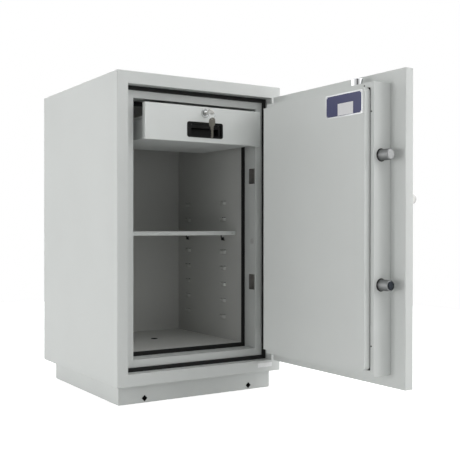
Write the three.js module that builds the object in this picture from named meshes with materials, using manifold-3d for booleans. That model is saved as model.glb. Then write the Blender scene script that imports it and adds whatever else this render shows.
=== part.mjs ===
// Fireproof safe with a stepped door, fire seals, bolt work, one shelf and a locking drawer.
// Millimetres, +Z up, the front faces -Y. The origin is the centre of the plinth's underside.
// Inside the body group x runs from the body's left side, y back from its front face and z up
// from its underside. The door is modelled closed and then turned open about its hinge axis.
import * as THREE from "three";
import Module from "manifold-3d";
import { mergeVertices } from "three/addons/utils/BufferGeometryUtils.js";
import { RoundedBoxGeometry } from "three/addons/geometries/RoundedBoxGeometry.js";

const wasm = await Module();
wasm.setup();

// Clearances
const GAP = 0.3;
const OVER = 1;

// Body
const BODY_W = 540;
const BODY_D = 498;
const BODY_H = 828;
const CASING_T = 2;
const CASING_R = 3;
const BACK_T = 2;
const FRAME_T = 1.5;
const LINER_T = 1.5;
const STILE_W = 32;
const RAIL_H = 33;
const STEP1_Y = 33.4;
const SECOND_X = 66;
const SECOND_Z = 64;
const STEP2_Y = 85;
const INNER_X = 78.5;
const INNER_Z = 76.5;
const INNER_BACK_Y = 430;

// Plinth
const PLINTH_H = 52;
const PLINTH_SIDE = 18;
const PLINTH_FRONT = 28.5;
const PLINTH_BACK = 52.5;
const PLINTH_T = 2;
const PLINTH_LIP = 15;
const SQUARE_SIDE = 9;
const SQUARE_IN = 79;
const SQUARE_Z = 12;
const RELIEF_R = 1.6;
const ANCHOR_Y = 269;
const ANCHOR_D = 18;
const ANCHOR_BORE_D = 24;

// Fire seals
const SEAL1_W = 10.5;
const SEAL1_Y = 26.8;
const SEAL2_Y = 82;

// Bolts and their pockets
const BOLT_D = 26.5;
const BOLT_Y = 58;
const BOLT_UPPER_UP = 175;
const BOLT_LOWER_DOWN = 132;
const BOLT_TIP_X = 50;
const BOLT_TIP_R = 2;
const BOLT_L = 67.7;
const TOP_BOLT_X = 154.5;
const TOP_BOLT_TIP_DOWN = 46.4;
const TOP_BOLT_L = 69.8;
const POCKET_L = 45;
const POCKET_W = 32;
const POCKET_TIP_GAP = 4;
const DOG_UPPER_UP = 155.5;
const DOG_LOWER_DOWN = 156;
const DOG_POCKET_Y0 = 36;
const DOG_POCKET_Y1 = 64;
const DOG_POCKET_DEEP = 18;
const SMALL_HOLE_D = 8;
const SMALL_HOLE_Y = 48;
const SMALL_HOLE_DOWN = 36;
const SMALL_HOLE_DEEP = 5;

// Shelf lugs, shelf and clips
const LUG_PITCH = 50;
const LUG_Z0 = 142.9;
const LUG_COUNT = 8;
const LUG_FRONT_Y = 176.8;
const LUG_BACK_Y = 374.3;
const LUG_W = 13;
const LUG_FLAT_W = 8;
const LUG_H = 8;
const LUG_PROUD = 4;
const LANCE_H = 8.8;
const SHELF_TOP_Z = 407;
const SHELF_T = 1.2;
const SHELF_FLANGE = 11.7;
const SHELF_FRONT_Y = 104.8;
const SHELF_BACK_Y = 424;
const SHELF_END_GAP = 4.8;
const SHELF_SLOT_IN = 17.5;
const SHELF_SLOT_L = 8;
const SHELF_SLOT_H = 2.5;
const CLIP_LUG = 5;
const CLIP_T = 1.6;
const CLIP_W = 12;
const CLIP_TONGUE_W = 5.5;
const CLIP_TONGUE_L = 12;
const CLIP_TAIL_Z = 375;
const CLIP_LEDGE = 15;

// Door, as closed
const HINGE_IN = 15.8;
const HINGE_Y = -2.8;
const DOOR_OPEN_DEG = 90.64;
const DOOR_GAP = 3;
const SLAB_D = 26.3;
const SLAB_T = 2;
const SLAB_R = 2;
const SLAB_RETURN_T = 1.5;
const SLAB_WELL_X0 = 95;
const SLAB_WELL_IN = 88;
const SLAB_WELL_Z = 82;
const BOX_X0 = 79.5;
const BOX_IN = 73;
const BOX_Z = 66.5;
const BOX_Y = 81.5;
const BOX_T = 1.5;
const BOX_FACE_W = 30;
const COVER_X0 = 91.6;
const COVER_IN = 81;
const COVER_Z = 80;
const COVER_Y = 99.6;
const COVER_T = 1.2;
const COVER_R = 10;
const BOARD_GAP = 4;
const DOG_L = 15;
const DOG_Y0 = 47;
const DOG_Y1 = 62;
const DOG_H = 40;
const DOG_BEVEL = 4;

// Bolt work
const PLATE_T = 3;
const PLATE_X1 = 176;
const PLATE_CLEAR = 2;
const BUSH_D = 30;
const BUSH_L = 18;
const BUSH_FLANGE_D = 33;
const BUSH_FLANGE_T = 1.5;
const BORE_GAP = 0.4;
const GUIDE_X = 98;
const GUIDE_T = 3;
const GUIDE_H = 50;
const GUIDE_Y1 = 76;
const GUIDE_FOOT = 16;
const TOP_GUIDE_DOWN = 93;
const TOP_GUIDE_W = 42;
const BAR_T = 4;
const BAR_Y0 = 46;
const BAR_Y1 = 70;
const BAR_OVER = 22;
const HANDLE_X = 100;
const HANDLE_UP = 72;
const CAM_R = 18;
const CAM_LOBE_R = 5.5;
const CAM_Y = 44;
const CAM_T = 3;
const CAM_PIN = 12;
const CAM_PIN_D = 6;
const CAM_PIN_L = 5.4;
const ARM_T = 3;
const ARM_X0 = 82;
const ARM_H = 30;
const SLOT_GAP = 0.7;
const SLOT_L = 22;
const ROD_W = 12;
const ROD_Y = 40;
const ROD_T = 3;
const ROD_FOOT_H = 20;
const ROD_TAB_L = 28;
const FORK_CLEAR = 1.5;
const FORK_DEEP = 1;
const SPINDLE_D = 14;
const SPINDLE_CLEAR = 1;
const LOCK_DOWN = 14;
const LOCK_CASE_X0 = 84;
const LOCK_CASE_W = 32;
const LOCK_CASE_H = 90;
const LOCK_CASE_T = 15;
const KEYHOLE_D = 7;
const KEYHOLE_SLOT = 3.2;
const KEYHOLE_DROP = 9;

// Outside handle and key escutcheon
const GRIP_D = 24;
const GRIP_L = 80;
const GRIP_Y = -31;
const NECK_D = 18;
const ROSE_D = 46;
const ROSE_T = 4;
const ESCUTCHEON_D = 36;
const ESCUTCHEON_T = 2;

// Hinges
const HINGE_LOWER_Z = 150;
const HINGE_H = 96;
const NOTCH_H = 104;
const NOTCH_IN = 4;
const NOTCH_Y = 10.5;
const KNUCKLE_D = 16;
const PIN_D = 8;
const PIN_HEAD_D = 11;
const PIN_HEAD_H = 2;
const LEAF_T = 3;
const LEAF_Y = 7.2;
const LEAF_IN = 3;
const LEAF_OUT = 1;
const WEB_W = 12;
const DOOR_LEAF_T = 4;
const DOOR_LEAF_L = 49.2;

// Drawer
const DRAWER_SIDE_GAP = 1.5;
const DRAWER_TOP_GAP = 2;
const DRAWER_H = 97.5;
const DRAWER_FRONT_Y = -6;
const PAN_D = 15;
const PAN_T = 1.5;
const TRAY_SIDE_GAP = 9.5;
const TRAY_UP = 3;
const TRAY_H = 58;
const TRAY_BACK_Y = 268;
const TRAY_T = 1.2;
const PULL_W = 117.5;
const PULL_H = 42.3;
const PULL_UP = 33.6;
const PULL_R = 6;
const PULL_LIP = 3;
const PULL_LIP_T = 1.5;
const PULL_DEPTH = 18;
const PULL_WALL = 2.5;
const PULL_LEDGE_H = 11;
const PULL_WELL_IN = 9;
const PULL_SHALLOW = 3.3;

// Drawer runners, as distances in from the liner's side wall
const RUNNER_UP = 59.5;
const FIXED_H = 13;
const FIXED_D = 5.7;
const FIXED_Y0 = 166;
const FIXED_Y1 = 425;
const MIDDLE_H = 9.4;
const MIDDLE_D0 = 2.1;
const MIDDLE_D1 = 7.4;
const MIDDLE_Y0 = 65;
const MIDDLE_Y1 = 272;
const MEMBER_H = 5.8;
const MEMBER_D0 = 3.9;
const MEMBER_D1 = 9.2;
const MEMBER_Y0 = 12;
const MEMBER_Y1 = 265;
const RUNNER_T = 1.5;

// Drawer lock, its keys and the catch for its cam
const DRAWER_LOCK_DOWN = 17;
const DRAWER_LOCK_D = 25;
const DRAWER_LOCK_BODY_D = 18;
const DRAWER_LOCK_FLANGE = 3;
const DRAWER_LOCK_BACK_Y = 14;
const LOCK_CAM_T = 2;
const LOCK_CAM_L = 17.5;
const LOCK_CAM_W = 11;
const DRAWER_TRAVEL_IN = 155;
const CATCH_W = 60;
const CATCH_L = 19;
const CATCH_T = 1.2;
const CATCH_DROP = 5.2;
const CATCH_GAP = 0.5;
const KEY_T = 2;
const KEY_TILT_DEG = 45;
const KEY_BOW_R = 9;
const KEY_BOW_Y = -35;
const KEY_NECK_W = 7;
const KEY_TIP_Y = 0;
const RING_HOLE_Y = -39;
const RING_HOLE_R = 3.6;
const RING_R = 9.5;
const RING_WIRE_R = 0.8;
const SPARE_BOW_R = 11;
const SPARE_BOW_DROP = 7.5;
const SPARE_HOLE_R = 2;
const SPARE_BLADE_W = 8;
const SPARE_BLADE_L = 38;
const SPARE_CUT = 2;

// Sizes that follow from the ones above
const MID_X = BODY_W / 2;
const MID_Z = BODY_H / 2;
const HINGE_X = BODY_W - HINGE_IN;
const HINGE_UPPER_Z = BODY_H - HINGE_LOWER_Z;
const NOTCH_X1 = BODY_W - NOTCH_IN;
const DOOR_LEAF_X0 = HINGE_X - DOOR_LEAF_L;
const OPEN_X1 = BODY_W - STILE_W;
const OPEN_Z1 = BODY_H - RAIL_H;
const SECOND_X1 = BODY_W - SECOND_X;
const SECOND_Z1 = BODY_H - SECOND_Z;
const INNER_X1 = BODY_W - INNER_X;
const INNER_Z1 = BODY_H - INNER_Z;
const SLAB_X0 = STILE_W + DOOR_GAP;
const SLAB_X1 = OPEN_X1 - DOOR_GAP;
const SLAB_Z0 = RAIL_H + DOOR_GAP;
const SLAB_Z1 = OPEN_Z1 - DOOR_GAP;
const SLAB_WELL_X1 = BODY_W - SLAB_WELL_IN;
const BOX_X1 = BODY_W - BOX_IN;
const COVER_X1 = BODY_W - COVER_IN;
const BOARD_X0 = PLATE_X1 + BOARD_GAP;
const BOLT_UPPER_Z = MID_Z + BOLT_UPPER_UP;
const BOLT_LOWER_Z = MID_Z - BOLT_LOWER_DOWN;
const TOP_BOLT_TIP_Z = BODY_H - TOP_BOLT_TIP_DOWN;
const TOP_GUIDE_Z = BODY_H - TOP_GUIDE_DOWN;
const DOG_UPPER_Z = MID_Z + DOG_UPPER_UP;
const DOG_LOWER_Z = MID_Z - DOG_LOWER_DOWN;
const DOG_TIP_X = BOX_X1 + DOG_L;
const DOG_POCKET_X1 = SECOND_X1 + DOG_POCKET_DEEP;
const SMALL_HOLE_Z = MID_Z - SMALL_HOLE_DOWN;
const HANDLE_Z = MID_Z + HANDLE_UP;
const LOCK_Z = MID_Z - LOCK_DOWN;
const SHELF_SLOT_X = INNER_X1 - SHELF_SLOT_IN;
const DRAWER_X0 = INNER_X + DRAWER_SIDE_GAP;
const DRAWER_X1 = INNER_X1 - DRAWER_SIDE_GAP;
const DRAWER_Z1 = INNER_Z1 - DRAWER_TOP_GAP;
const DRAWER_Z0 = DRAWER_Z1 - DRAWER_H;
const TRAY_X0 = INNER_X + TRAY_SIDE_GAP;
const TRAY_X1 = INNER_X1 - TRAY_SIDE_GAP;
const TRAY_Z0 = DRAWER_Z0 + TRAY_UP;
const TRAY_Z1 = TRAY_Z0 + TRAY_H;
const PULL_Z = DRAWER_Z0 + PULL_UP;
const RUNNER_Z = DRAWER_Z0 + RUNNER_UP;
const DRAWER_LOCK_Z = DRAWER_Z1 - DRAWER_LOCK_DOWN;
const BOX_Y0 = SLAB_D + GAP;
const PLATE_Y = BOX_Y0 + GAP;
const PLATE_FACE_Y = PLATE_Y + PLATE_T + GAP;
const BAR_X = BOLT_TIP_X + BOLT_L + GAP;
const CAM_FACE_Y = CAM_Y + CAM_T;
const PAN_BACK_Y = DRAWER_FRONT_Y + PAN_D;

// Finishes: colour, roughness, metalness
const PAINT = [0xc8cbc9, 0.42, 0.0];
const PAINT_INSIDE = [0xb4b7b4, 0.45, 0.0];
const FILL = [0xb9b2a3, 0.95, 0.0];
const BOARD = [0xd8d2c2, 0.95, 0.0];
const BLACK = [0x141414, 0.6, 0.0];
const STEEL = [0xb9bcbd, 0.35, 1.0];
const ZINC = [0xc4c7c4, 0.4, 1.0];
const CHROME = [0xd9dbdc, 0.12, 1.0];
const SATIN = [0xd2d3d1, 0.3, 0.9];

/** Turns a three.js geometry into a solid for the booleans. */
function solid(geometry) {
  const bare = geometry.clone();
  bare.deleteAttribute("normal");
  bare.deleteAttribute("uv");
  const merged = mergeVertices(bare, 1e-4);
  const index = merged.index.array;
  const kept = [];
  for (let i = 0; i < index.length; i += 3) {
    const [a, b, c] = [index[i], index[i + 1], index[i + 2]];
    if (a !== b && b !== c && c !== a) kept.push(a, b, c);
  }
  return new wasm.Manifold(new wasm.Mesh({
    numProp: 3,
    vertProperties: new Float32Array(merged.attributes.position.array),
    triVerts: new Uint32Array(kept),
  }));
}

/** A block between two corners. */
function block(x0, x1, y0, y1, z0, z1) {
  const geometry = new THREE.BoxGeometry(x1 - x0, y1 - y0, z1 - z0);
  geometry.translate((x0 + x1) / 2, (y0 + y1) / 2, (z0 + z1) / 2);
  return solid(geometry);
}

/** A block whose edges are all rounded. */
function roundBlock(x0, x1, y0, y1, z0, z1, radius) {
  const geometry = new RoundedBoxGeometry(x1 - x0, y1 - y0, z1 - z0, 2, radius);
  geometry.translate((x0 + x1) / 2, (y0 + y1) / 2, (z0 + z1) / 2);
  return solid(geometry);
}

/** A flat outline pushed along an axis: (x,y) along z, (x,z) along y or (y,z) along x. */
function prism(axis, points, from, to) {
  const shape = new THREE.Shape(points.map(([u, v]) => new THREE.Vector2(u, v)));
  const geometry = new THREE.ExtrudeGeometry(shape, { depth: to - from, bevelEnabled: false });
  const frames = {
    x: [[0, 1, 0], [0, 0, 1], [1, 0, 0], [from, 0, 0]],
    y: [[1, 0, 0], [0, 0, 1], [0, -1, 0], [0, to, 0]],
    z: [[1, 0, 0], [0, 1, 0], [0, 0, 1], [0, 0, from]],
  };
  const [u, v, w, at] = frames[axis].map((row) => new THREE.Vector3(...row));
  geometry.applyMatrix4(new THREE.Matrix4().makeBasis(u, v, w).setPosition(at));
  return solid(geometry);
}

/** The outline of a circle. */
function circle(u, v, radius, sides = 32) {
  return Array.from({ length: sides }, (_, i) => {
    const angle = (2 * Math.PI * (i + 0.5)) / sides;
    return [u + radius * Math.cos(angle), v + radius * Math.sin(angle)];
  });
}

/** The outline of a rectangle, with a radius for each corner from (u0,v0) going round. */
function rectangle(u0, u1, v0, v1, radii = [0, 0, 0, 0]) {
  const corners = [[u0, v0, 1, 1], [u1, v0, -1, 1], [u1, v1, -1, -1], [u0, v1, 1, -1]];
  return corners.flatMap(([u, v, du, dv], i) => {
    const radius = radii[i];
    if (radius === 0) return [[u, v]];
    const start = Math.PI * (1 + i / 2);
    return Array.from({ length: 6 }, (_, k) => {
      const angle = start + (Math.PI / 2) * (k / 5);
      return [u + radius * (du + Math.cos(angle)), v + radius * (dv + Math.sin(angle))];
    });
  });
}

/** A straight round bar along an axis. */
function bar(axis, u, v, diameter, from, to, sides = 32) {
  return prism(axis, circle(u, v, diameter / 2, sides), from, to);
}

/** A turned piece along +x from its closed (distance along, radius) profile. */
function turned(profile, sides = 32) {
  const points = profile.map(([along, radius]) => new THREE.Vector2(radius, along));
  const geometry = new THREE.LatheGeometry(points, sides);
  geometry.rotateZ(-Math.PI / 2);
  const made = solid(geometry);
  return made.volume() < 0 ? solid(flipped(geometry)) : made;
}

/** The same geometry with its faces turned over. */
function flipped(geometry) {
  const copy = geometry.clone();
  const index = copy.index.array;
  for (let i = 0; i < index.length; i += 3) [index[i], index[i + 1]] = [index[i + 1], index[i]];
  return copy;
}

/** Joins solids. */
function join(first, ...rest) {
  return rest.reduce((made, next) => made.add(next), first);
}

/** Takes solids away from the first one. */
function cut(first, ...rest) {
  return rest.reduce((made, next) => made.subtract(next), first);
}

/** A named mesh with its own material, placed in a group. */
function piece(group, name, made, [color, roughness, metalness], position = [0, 0, 0]) {
  const { vertProperties, triVerts } = made.getMesh();
  const geometry = new THREE.BufferGeometry();
  geometry.setAttribute("position", new THREE.BufferAttribute(new Float32Array(vertProperties), 3));
  geometry.setIndex(new THREE.BufferAttribute(new Uint32Array(triVerts), 1));
  geometry.computeVertexNormals();
  const material = new THREE.MeshStandardMaterial({ color, roughness, metalness });
  const mesh = new THREE.Mesh(geometry, material);
  mesh.name = name;
  mesh.position.set(...position);
  group.add(mesh);
  return mesh;
}

/** A named group at a place. */
function nest(parent, name, position = [0, 0, 0]) {
  const group = new THREE.Group();
  group.name = name;
  group.position.set(...position);
  parent.add(group);
  return group;
}

/** The notches of the two hinges, between two depths and out to a given side. */
function hingeNotches(x0, x1, y0, y1, spare = 0) {
  return [HINGE_LOWER_Z, HINGE_UPPER_Z].map((z) => block(
    x0, x1, y0, y1, z - NOTCH_H / 2 - spare, z + NOTCH_H / 2 + spare));
}

/** The openings that take the side bolts, the top bolt and the two fixed dogs. */
function boltPockets(spare, tip) {
  const y0 = BOLT_Y - POCKET_W / 2 - spare;
  const y1 = BOLT_Y + POCKET_W / 2 + spare;
  const half = POCKET_L / 2 + spare;
  const side = [BOLT_UPPER_Z, BOLT_LOWER_Z].map((z) => block(
    BOLT_TIP_X - POCKET_TIP_GAP, SECOND_X + tip, y0, y1, z - half, z + half));
  const top = block(TOP_BOLT_X - half, TOP_BOLT_X + half, y0, y1,
    SECOND_Z1 - tip, TOP_BOLT_TIP_Z + POCKET_TIP_GAP);
  const dogs = [DOG_UPPER_Z, DOG_LOWER_Z].map((z) => block(
    SECOND_X1 - tip, DOG_POCKET_X1, DOG_POCKET_Y0 - spare / 2, DOG_POCKET_Y1 + spare,
    z - half, z + half));
  return [...side, top, ...dogs];
}

/** The wrapped outer sheet: sides, top and bottom folded round into the front stiles and rails. */
function outerCasing() {
  const outside = roundBlock(0, BODY_W, 0, BODY_D + 4 * CASING_R, 0, BODY_H, CASING_R);
  const trimmed = outside.intersect(block(-OVER, BODY_W + OVER, -OVER, BODY_D, -OVER, BODY_H + OVER));
  return cut(
    trimmed,
    block(CASING_T, BODY_W - CASING_T, CASING_T, BODY_D + OVER, CASING_T, BODY_H - CASING_T),
    block(STILE_W, OPEN_X1, -OVER, CASING_T + OVER, RAIL_H, OPEN_Z1),
    bar("z", MID_X, ANCHOR_Y, ANCHOR_D, -OVER, CASING_T + OVER),
    ...hingeNotches(OPEN_X1 - OVER, NOTCH_X1, -OVER, CASING_T + OVER),
  );
}

/** The stepped door frame: two walls and two faces, with the bolt and dog openings punched. */
function frontFrame() {
  const y0 = CASING_T + GAP;
  const outside = join(
    block(STILE_W - FRAME_T, OPEN_X1 + FRAME_T, y0, STEP1_Y + FRAME_T,
      RAIL_H - FRAME_T, OPEN_Z1 + FRAME_T),
    block(SECOND_X - FRAME_T, SECOND_X1 + FRAME_T, STEP1_Y, STEP2_Y + FRAME_T,
      SECOND_Z - FRAME_T, SECOND_Z1 + FRAME_T),
  );
  return cut(
    outside,
    block(STILE_W, OPEN_X1, -OVER, STEP1_Y, RAIL_H, OPEN_Z1),
    block(SECOND_X, SECOND_X1, 0, STEP2_Y, SECOND_Z, SECOND_Z1),
    block(INNER_X, INNER_X1, 0, STEP2_Y + 2 * FRAME_T, INNER_Z, INNER_Z1),
    ...boltPockets(0, OVER),
    bar("x", SMALL_HOLE_Y, SMALL_HOLE_Z, SMALL_HOLE_D, SECOND_X1 - OVER, SECOND_X1 + 2 * FRAME_T, 16),
    ...hingeNotches(OPEN_X1 - OVER, OPEN_X1 + 2 * FRAME_T, -OVER, NOTCH_Y),
  );
}

/** The poured fireproof filling between the casing and the frame and liner. */
function bodyInsulation() {
  const inset = CASING_T + GAP;
  const skin = FRAME_T + GAP;
  const whole = block(inset, BODY_W - inset, inset, BODY_D - BACK_T - GAP, inset, BODY_H - inset);
  return cut(
    whole,
    block(STILE_W - skin, OPEN_X1 + skin, 0, STEP1_Y + skin, RAIL_H - skin, OPEN_Z1 + skin),
    block(SECOND_X - skin, SECOND_X1 + skin, 0, STEP2_Y + skin, SECOND_Z - skin, SECOND_Z1 + skin),
    block(INNER_X - skin, INNER_X1 + skin, 0, INNER_BACK_Y + skin, INNER_Z - skin, INNER_Z1 + skin),
    ...boltPockets(1, -FRAME_T),
    bar("x", SMALL_HOLE_Y, SMALL_HOLE_Z, SMALL_HOLE_D + 2, SECOND_X1, SECOND_X1 + SMALL_HOLE_DEEP, 16),
    bar("z", MID_X, ANCHOR_Y, ANCHOR_BORE_D, 0, INNER_Z),
    ...hingeNotches(OPEN_X1, NOTCH_X1 + 1, 0, NOTCH_Y + GAP, 1),
  );
}

/** The folded base tray, with its two square openings, bend reliefs and anchor hole. */
function plinth() {
  const [x0, x1] = [PLINTH_SIDE, BODY_W - PLINTH_SIDE];
  const [y0, y1] = [PLINTH_FRONT, BODY_D - PLINTH_BACK];
  const diamond = SQUARE_SIDE / Math.SQRT2;
  const squares = [x0 + SQUARE_IN, x1 - SQUARE_IN].map((x) => {
    const z = SQUARE_Z - PLINTH_H;
    return prism("y", [[x - diamond, z], [x, z - diamond], [x + diamond, z], [x, z + diamond]],
      y0 - OVER, y0 + PLINTH_T + OVER);
  });
  const reliefs = [x0, x1].flatMap((x) => [y0, y1].map((y) => bar(
    "z", x, y, 2 * RELIEF_R, -PLINTH_H - OVER, -PLINTH_H + 2 * RELIEF_R, 12)));
  return cut(
    block(x0, x1, y0, y1, -PLINTH_H, -GAP),
    block(x0 + PLINTH_T, x1 - PLINTH_T, y0 + PLINTH_T, y1 - PLINTH_T,
      -PLINTH_H + PLINTH_T, -GAP - PLINTH_T),
    block(x0 + PLINTH_LIP, x1 - PLINTH_LIP, y0 + PLINTH_LIP, y1 - PLINTH_LIP,
      -GAP - 2 * PLINTH_T, OVER),
    bar("z", MID_X, ANCHOR_Y, ANCHOR_D, -PLINTH_H - OVER, -PLINTH_H + PLINTH_T + OVER),
    ...squares,
    ...reliefs,
  );
}

/** A liner side wall with its two columns of lanced bridge lugs; side is 1 left or -1 right. */
function linerSide(side) {
  const wall = side > 0 ? INNER_X : INNER_X1;
  const from = STEP2_Y + FRAME_T + GAP;
  const sheet = block(Math.min(wall, wall - side * LINER_T), Math.max(wall, wall - side * LINER_T),
    from, INNER_BACK_Y + LINER_T, INNER_Z - LINER_T, INNER_Z1 + LINER_T);
  const bridges = [];
  const lances = [];
  for (const y of [LUG_FRONT_Y, LUG_BACK_Y]) {
    for (let k = 0; k < LUG_COUNT; k += 1) {
      const z = LUG_Z0 + k * LUG_PITCH;
      bridges.push(lugBridge(wall, side, y, z));
      lances.push(lugLance(wall, side, y, z));
    }
  }
  return cut(join(sheet, ...bridges), ...lances);
}

/** The raised strip of one lug. */
function lugBridge(wall, side, y, z) {
  const outline = [
    [wall - side * 0.5, y - LUG_W / 2],
    [wall, y - LUG_W / 2],
    [wall + side * LUG_PROUD, y - LUG_FLAT_W / 2],
    [wall + side * LUG_PROUD, y + LUG_FLAT_W / 2],
    [wall, y + LUG_W / 2],
    [wall - side * 0.5, y + LUG_W / 2],
  ];
  return prism("z", outline, z - LUG_H / 2, z + LUG_H / 2);
}

/** The room behind one lug's strip, open through the sheet. */
function lugLance(wall, side, y, z) {
  const outline = [
    [wall - side * 2 * LINER_T, y - LUG_W / 2 + LINER_T],
    [wall, y - LUG_W / 2 + LINER_T],
    [wall + side * (LUG_PROUD - LINER_T), y - LUG_FLAT_W / 2 + LINER_T / 2],
    [wall + side * (LUG_PROUD - LINER_T), y + LUG_FLAT_W / 2 - LINER_T / 2],
    [wall, y + LUG_W / 2 - LINER_T],
    [wall - side * 2 * LINER_T, y + LUG_W / 2 - LINER_T],
  ];
  return prism("z", outline, z - LANCE_H / 2, z + LANCE_H / 2);
}

/** A liner panel between the two side walls. */
function linerPanel(y0, y1, z0, z1) {
  return block(INNER_X + GAP, INNER_X1 - GAP, y0, y1, z0, z1);
}

/** A flat seal ring round an opening. */
function sealRing(inX, inZ, width, y0, y1) {
  const [x0, x1] = [inX + GAP, BODY_W - inX - GAP];
  const [z0, z1] = [inZ + GAP, BODY_H - inZ - GAP];
  return cut(
    block(x0, x1, y0, y1, z0, z1),
    block(x0 + width, x1 - width, y0 - OVER, y1 + OVER, z0 + width, z1 - width),
  );
}

/** The shelf: a sheet with folded front and rear flanges and one small slot in the front. */
function shelf() {
  const [x0, x1] = [INNER_X + SHELF_END_GAP, INNER_X1 - SHELF_END_GAP];
  const under = SHELF_TOP_Z - SHELF_FLANGE;
  const slotZ = SHELF_TOP_Z - SHELF_FLANGE / 2;
  return cut(
    block(x0, x1, SHELF_FRONT_Y, SHELF_BACK_Y, under, SHELF_TOP_Z),
    block(x0 - OVER, x1 + OVER, SHELF_FRONT_Y + SHELF_T, SHELF_BACK_Y - SHELF_T,
      under - OVER, SHELF_TOP_Z - SHELF_T),
    block(SHELF_SLOT_X - SHELF_SLOT_L / 2, SHELF_SLOT_X + SHELF_SLOT_L / 2,
      SHELF_FRONT_Y - OVER, SHELF_FRONT_Y + SHELF_T + OVER,
      slotZ - SHELF_SLOT_H / 2, slotZ + SHELF_SLOT_H / 2),
  );
}

/** One shelf clip, hooked over a lug; u is the distance from the wall. */
function shelfClip(side, y) {
  const wall = side > 0 ? INNER_X : INNER_X1;
  const span = (u0, u1) => [wall + side * u0, wall + side * u1].sort((a, b) => a - b);
  const lugTop = LUG_Z0 + CLIP_LUG * LUG_PITCH + LUG_H / 2;
  const hookTop = lugTop + GAP + 0.1 + CLIP_T;
  const ledgeTop = SHELF_TOP_Z - SHELF_T - GAP;
  const outer = LUG_PROUD + GAP + 0.1;
  const tongue = block(...span(0.5, 0.5 + CLIP_T), y - CLIP_TONGUE_W / 2, y + CLIP_TONGUE_W / 2,
    hookTop - CLIP_TONGUE_L, hookTop);
  const web = block(...span(0.5, outer + CLIP_T), y - CLIP_TONGUE_W / 2, y + CLIP_TONGUE_W / 2,
    hookTop - CLIP_T, hookTop);
  const plate = block(...span(outer, outer + CLIP_T), y - CLIP_W / 2, y + CLIP_W / 2,
    CLIP_TAIL_Z, ledgeTop);
  const ledge = block(...span(outer, outer + CLIP_LEDGE), y - CLIP_W / 2, y + CLIP_W / 2,
    ledgeTop - CLIP_T, ledgeTop);
  return join(tongue, web, plate, ledge);
}

/** A channel open to one side, for a runner; u is the distance from the liner's wall. */
function channel(side, u0, u1, height, y0, y1) {
  const wall = side > 0 ? INNER_X : INNER_X1;
  const span = (a, b) => [wall + side * a, wall + side * b].sort((p, q) => p - q);
  const half = height / 2;
  return cut(
    block(...span(u0, u1), y0, y1, RUNNER_Z - half, RUNNER_Z + half),
    block(...span(u0 + RUNNER_T, u1 + OVER), y0 - OVER, y1 + OVER,
      RUNNER_Z - half + RUNNER_T, RUNNER_Z + half - RUNNER_T),
  );
}

/** The solid inner member of a runner, carried by the drawer. */
function runnerMember(side) {
  const wall = side > 0 ? INNER_X : INNER_X1;
  const [x0, x1] = [wall + side * MEMBER_D0, wall + side * MEMBER_D1].sort((a, b) => a - b);
  return block(x0, x1, MEMBER_Y0, MEMBER_Y1, RUNNER_Z - MEMBER_H / 2, RUNNER_Z + MEMBER_H / 2);
}

/** The catch under the liner's ceiling that holds the drawer lock's cam. */
function drawerCatch() {
  const camY = DRAWER_LOCK_BACK_Y + GAP + DRAWER_TRAVEL_IN;
  const legBack = camY - CATCH_GAP;
  const top = INNER_Z1 - GAP;
  const [x0, x1] = [MID_X - CATCH_W / 2, MID_X + CATCH_W / 2];
  return join(
    block(x0, x1, legBack - CATCH_L, legBack, top - CATCH_T, top),
    block(x0, x1, legBack - CATCH_T, legBack, top - CATCH_DROP, top),
  );
}

/** The body leaf of a hinge: a plate behind the stile with webs to the two outer knuckles. */
function hingeBodyLeaf() {
  const half = HINGE_H / 2;
  const mid = half / 3;
  const plate = block(OPEN_X1 + LEAF_IN - HINGE_X, NOTCH_X1 - LEAF_OUT - HINGE_X,
    LEAF_Y - HINGE_Y, LEAF_Y + LEAF_T - HINGE_Y, -half, half);
  const ends = [[-half, -mid - GAP], [mid + GAP, half]].map(([z0, z1]) => join(
    bar("z", 0, 0, KNUCKLE_D, z0, z1),
    block(-WEB_W / 2, WEB_W / 2, 0, LEAF_Y - HINGE_Y + OVER, z0, z1),
  ));
  return cut(join(plate, ...ends), bar("z", 0, 0, PIN_D + 2 * GAP, -half - OVER, half + OVER, 24));
}

/** The door leaf of a hinge: the middle knuckle and a plate let into the slab. */
function hingeDoorLeaf() {
  const mid = HINGE_H / 6;
  const y0 = SLAB_T + GAP - HINGE_Y;
  return cut(
    join(
      bar("z", 0, 0, KNUCKLE_D, -mid, mid),
      block(DOOR_LEAF_X0 - HINGE_X, 0, y0, y0 + DOOR_LEAF_T, -mid, mid),
    ),
    bar("z", 0, 0, PIN_D + 2 * GAP, -mid - OVER, mid + OVER, 24),
  );
}

/** A hinge pin with a head. */
function hingePin() {
  const half = HINGE_H / 2;
  return join(
    bar("z", 0, 0, PIN_D, -half, half + PIN_HEAD_H, 24),
    bar("z", 0, 0, PIN_HEAD_D, half + GAP, half + GAP + PIN_HEAD_H, 24),
  );
}

/** The way that a door leaf takes through the slab's hinge edge. */
function leafSlots(spare) {
  const mid = HINGE_H / 6 + spare;
  return [HINGE_LOWER_Z, HINGE_UPPER_Z].map((z) => block(
    DOOR_LEAF_X0 - spare, SLAB_X1 + OVER, SLAB_T, SLAB_T + GAP + DOOR_LEAF_T + spare,
    z - mid, z + mid));
}

/** A keyhole outline pushed along y. */
function keyhole(spare, y0, y1) {
  const width = KEYHOLE_SLOT / 2 + spare;
  return join(
    bar("y", HANDLE_X, LOCK_Z, KEYHOLE_D + 2 * spare, y0, y1, 20),
    block(HANDLE_X - width, HANDLE_X + width, y0, y1, LOCK_Z - KEYHOLE_DROP - spare, LOCK_Z),
  );
}

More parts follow.
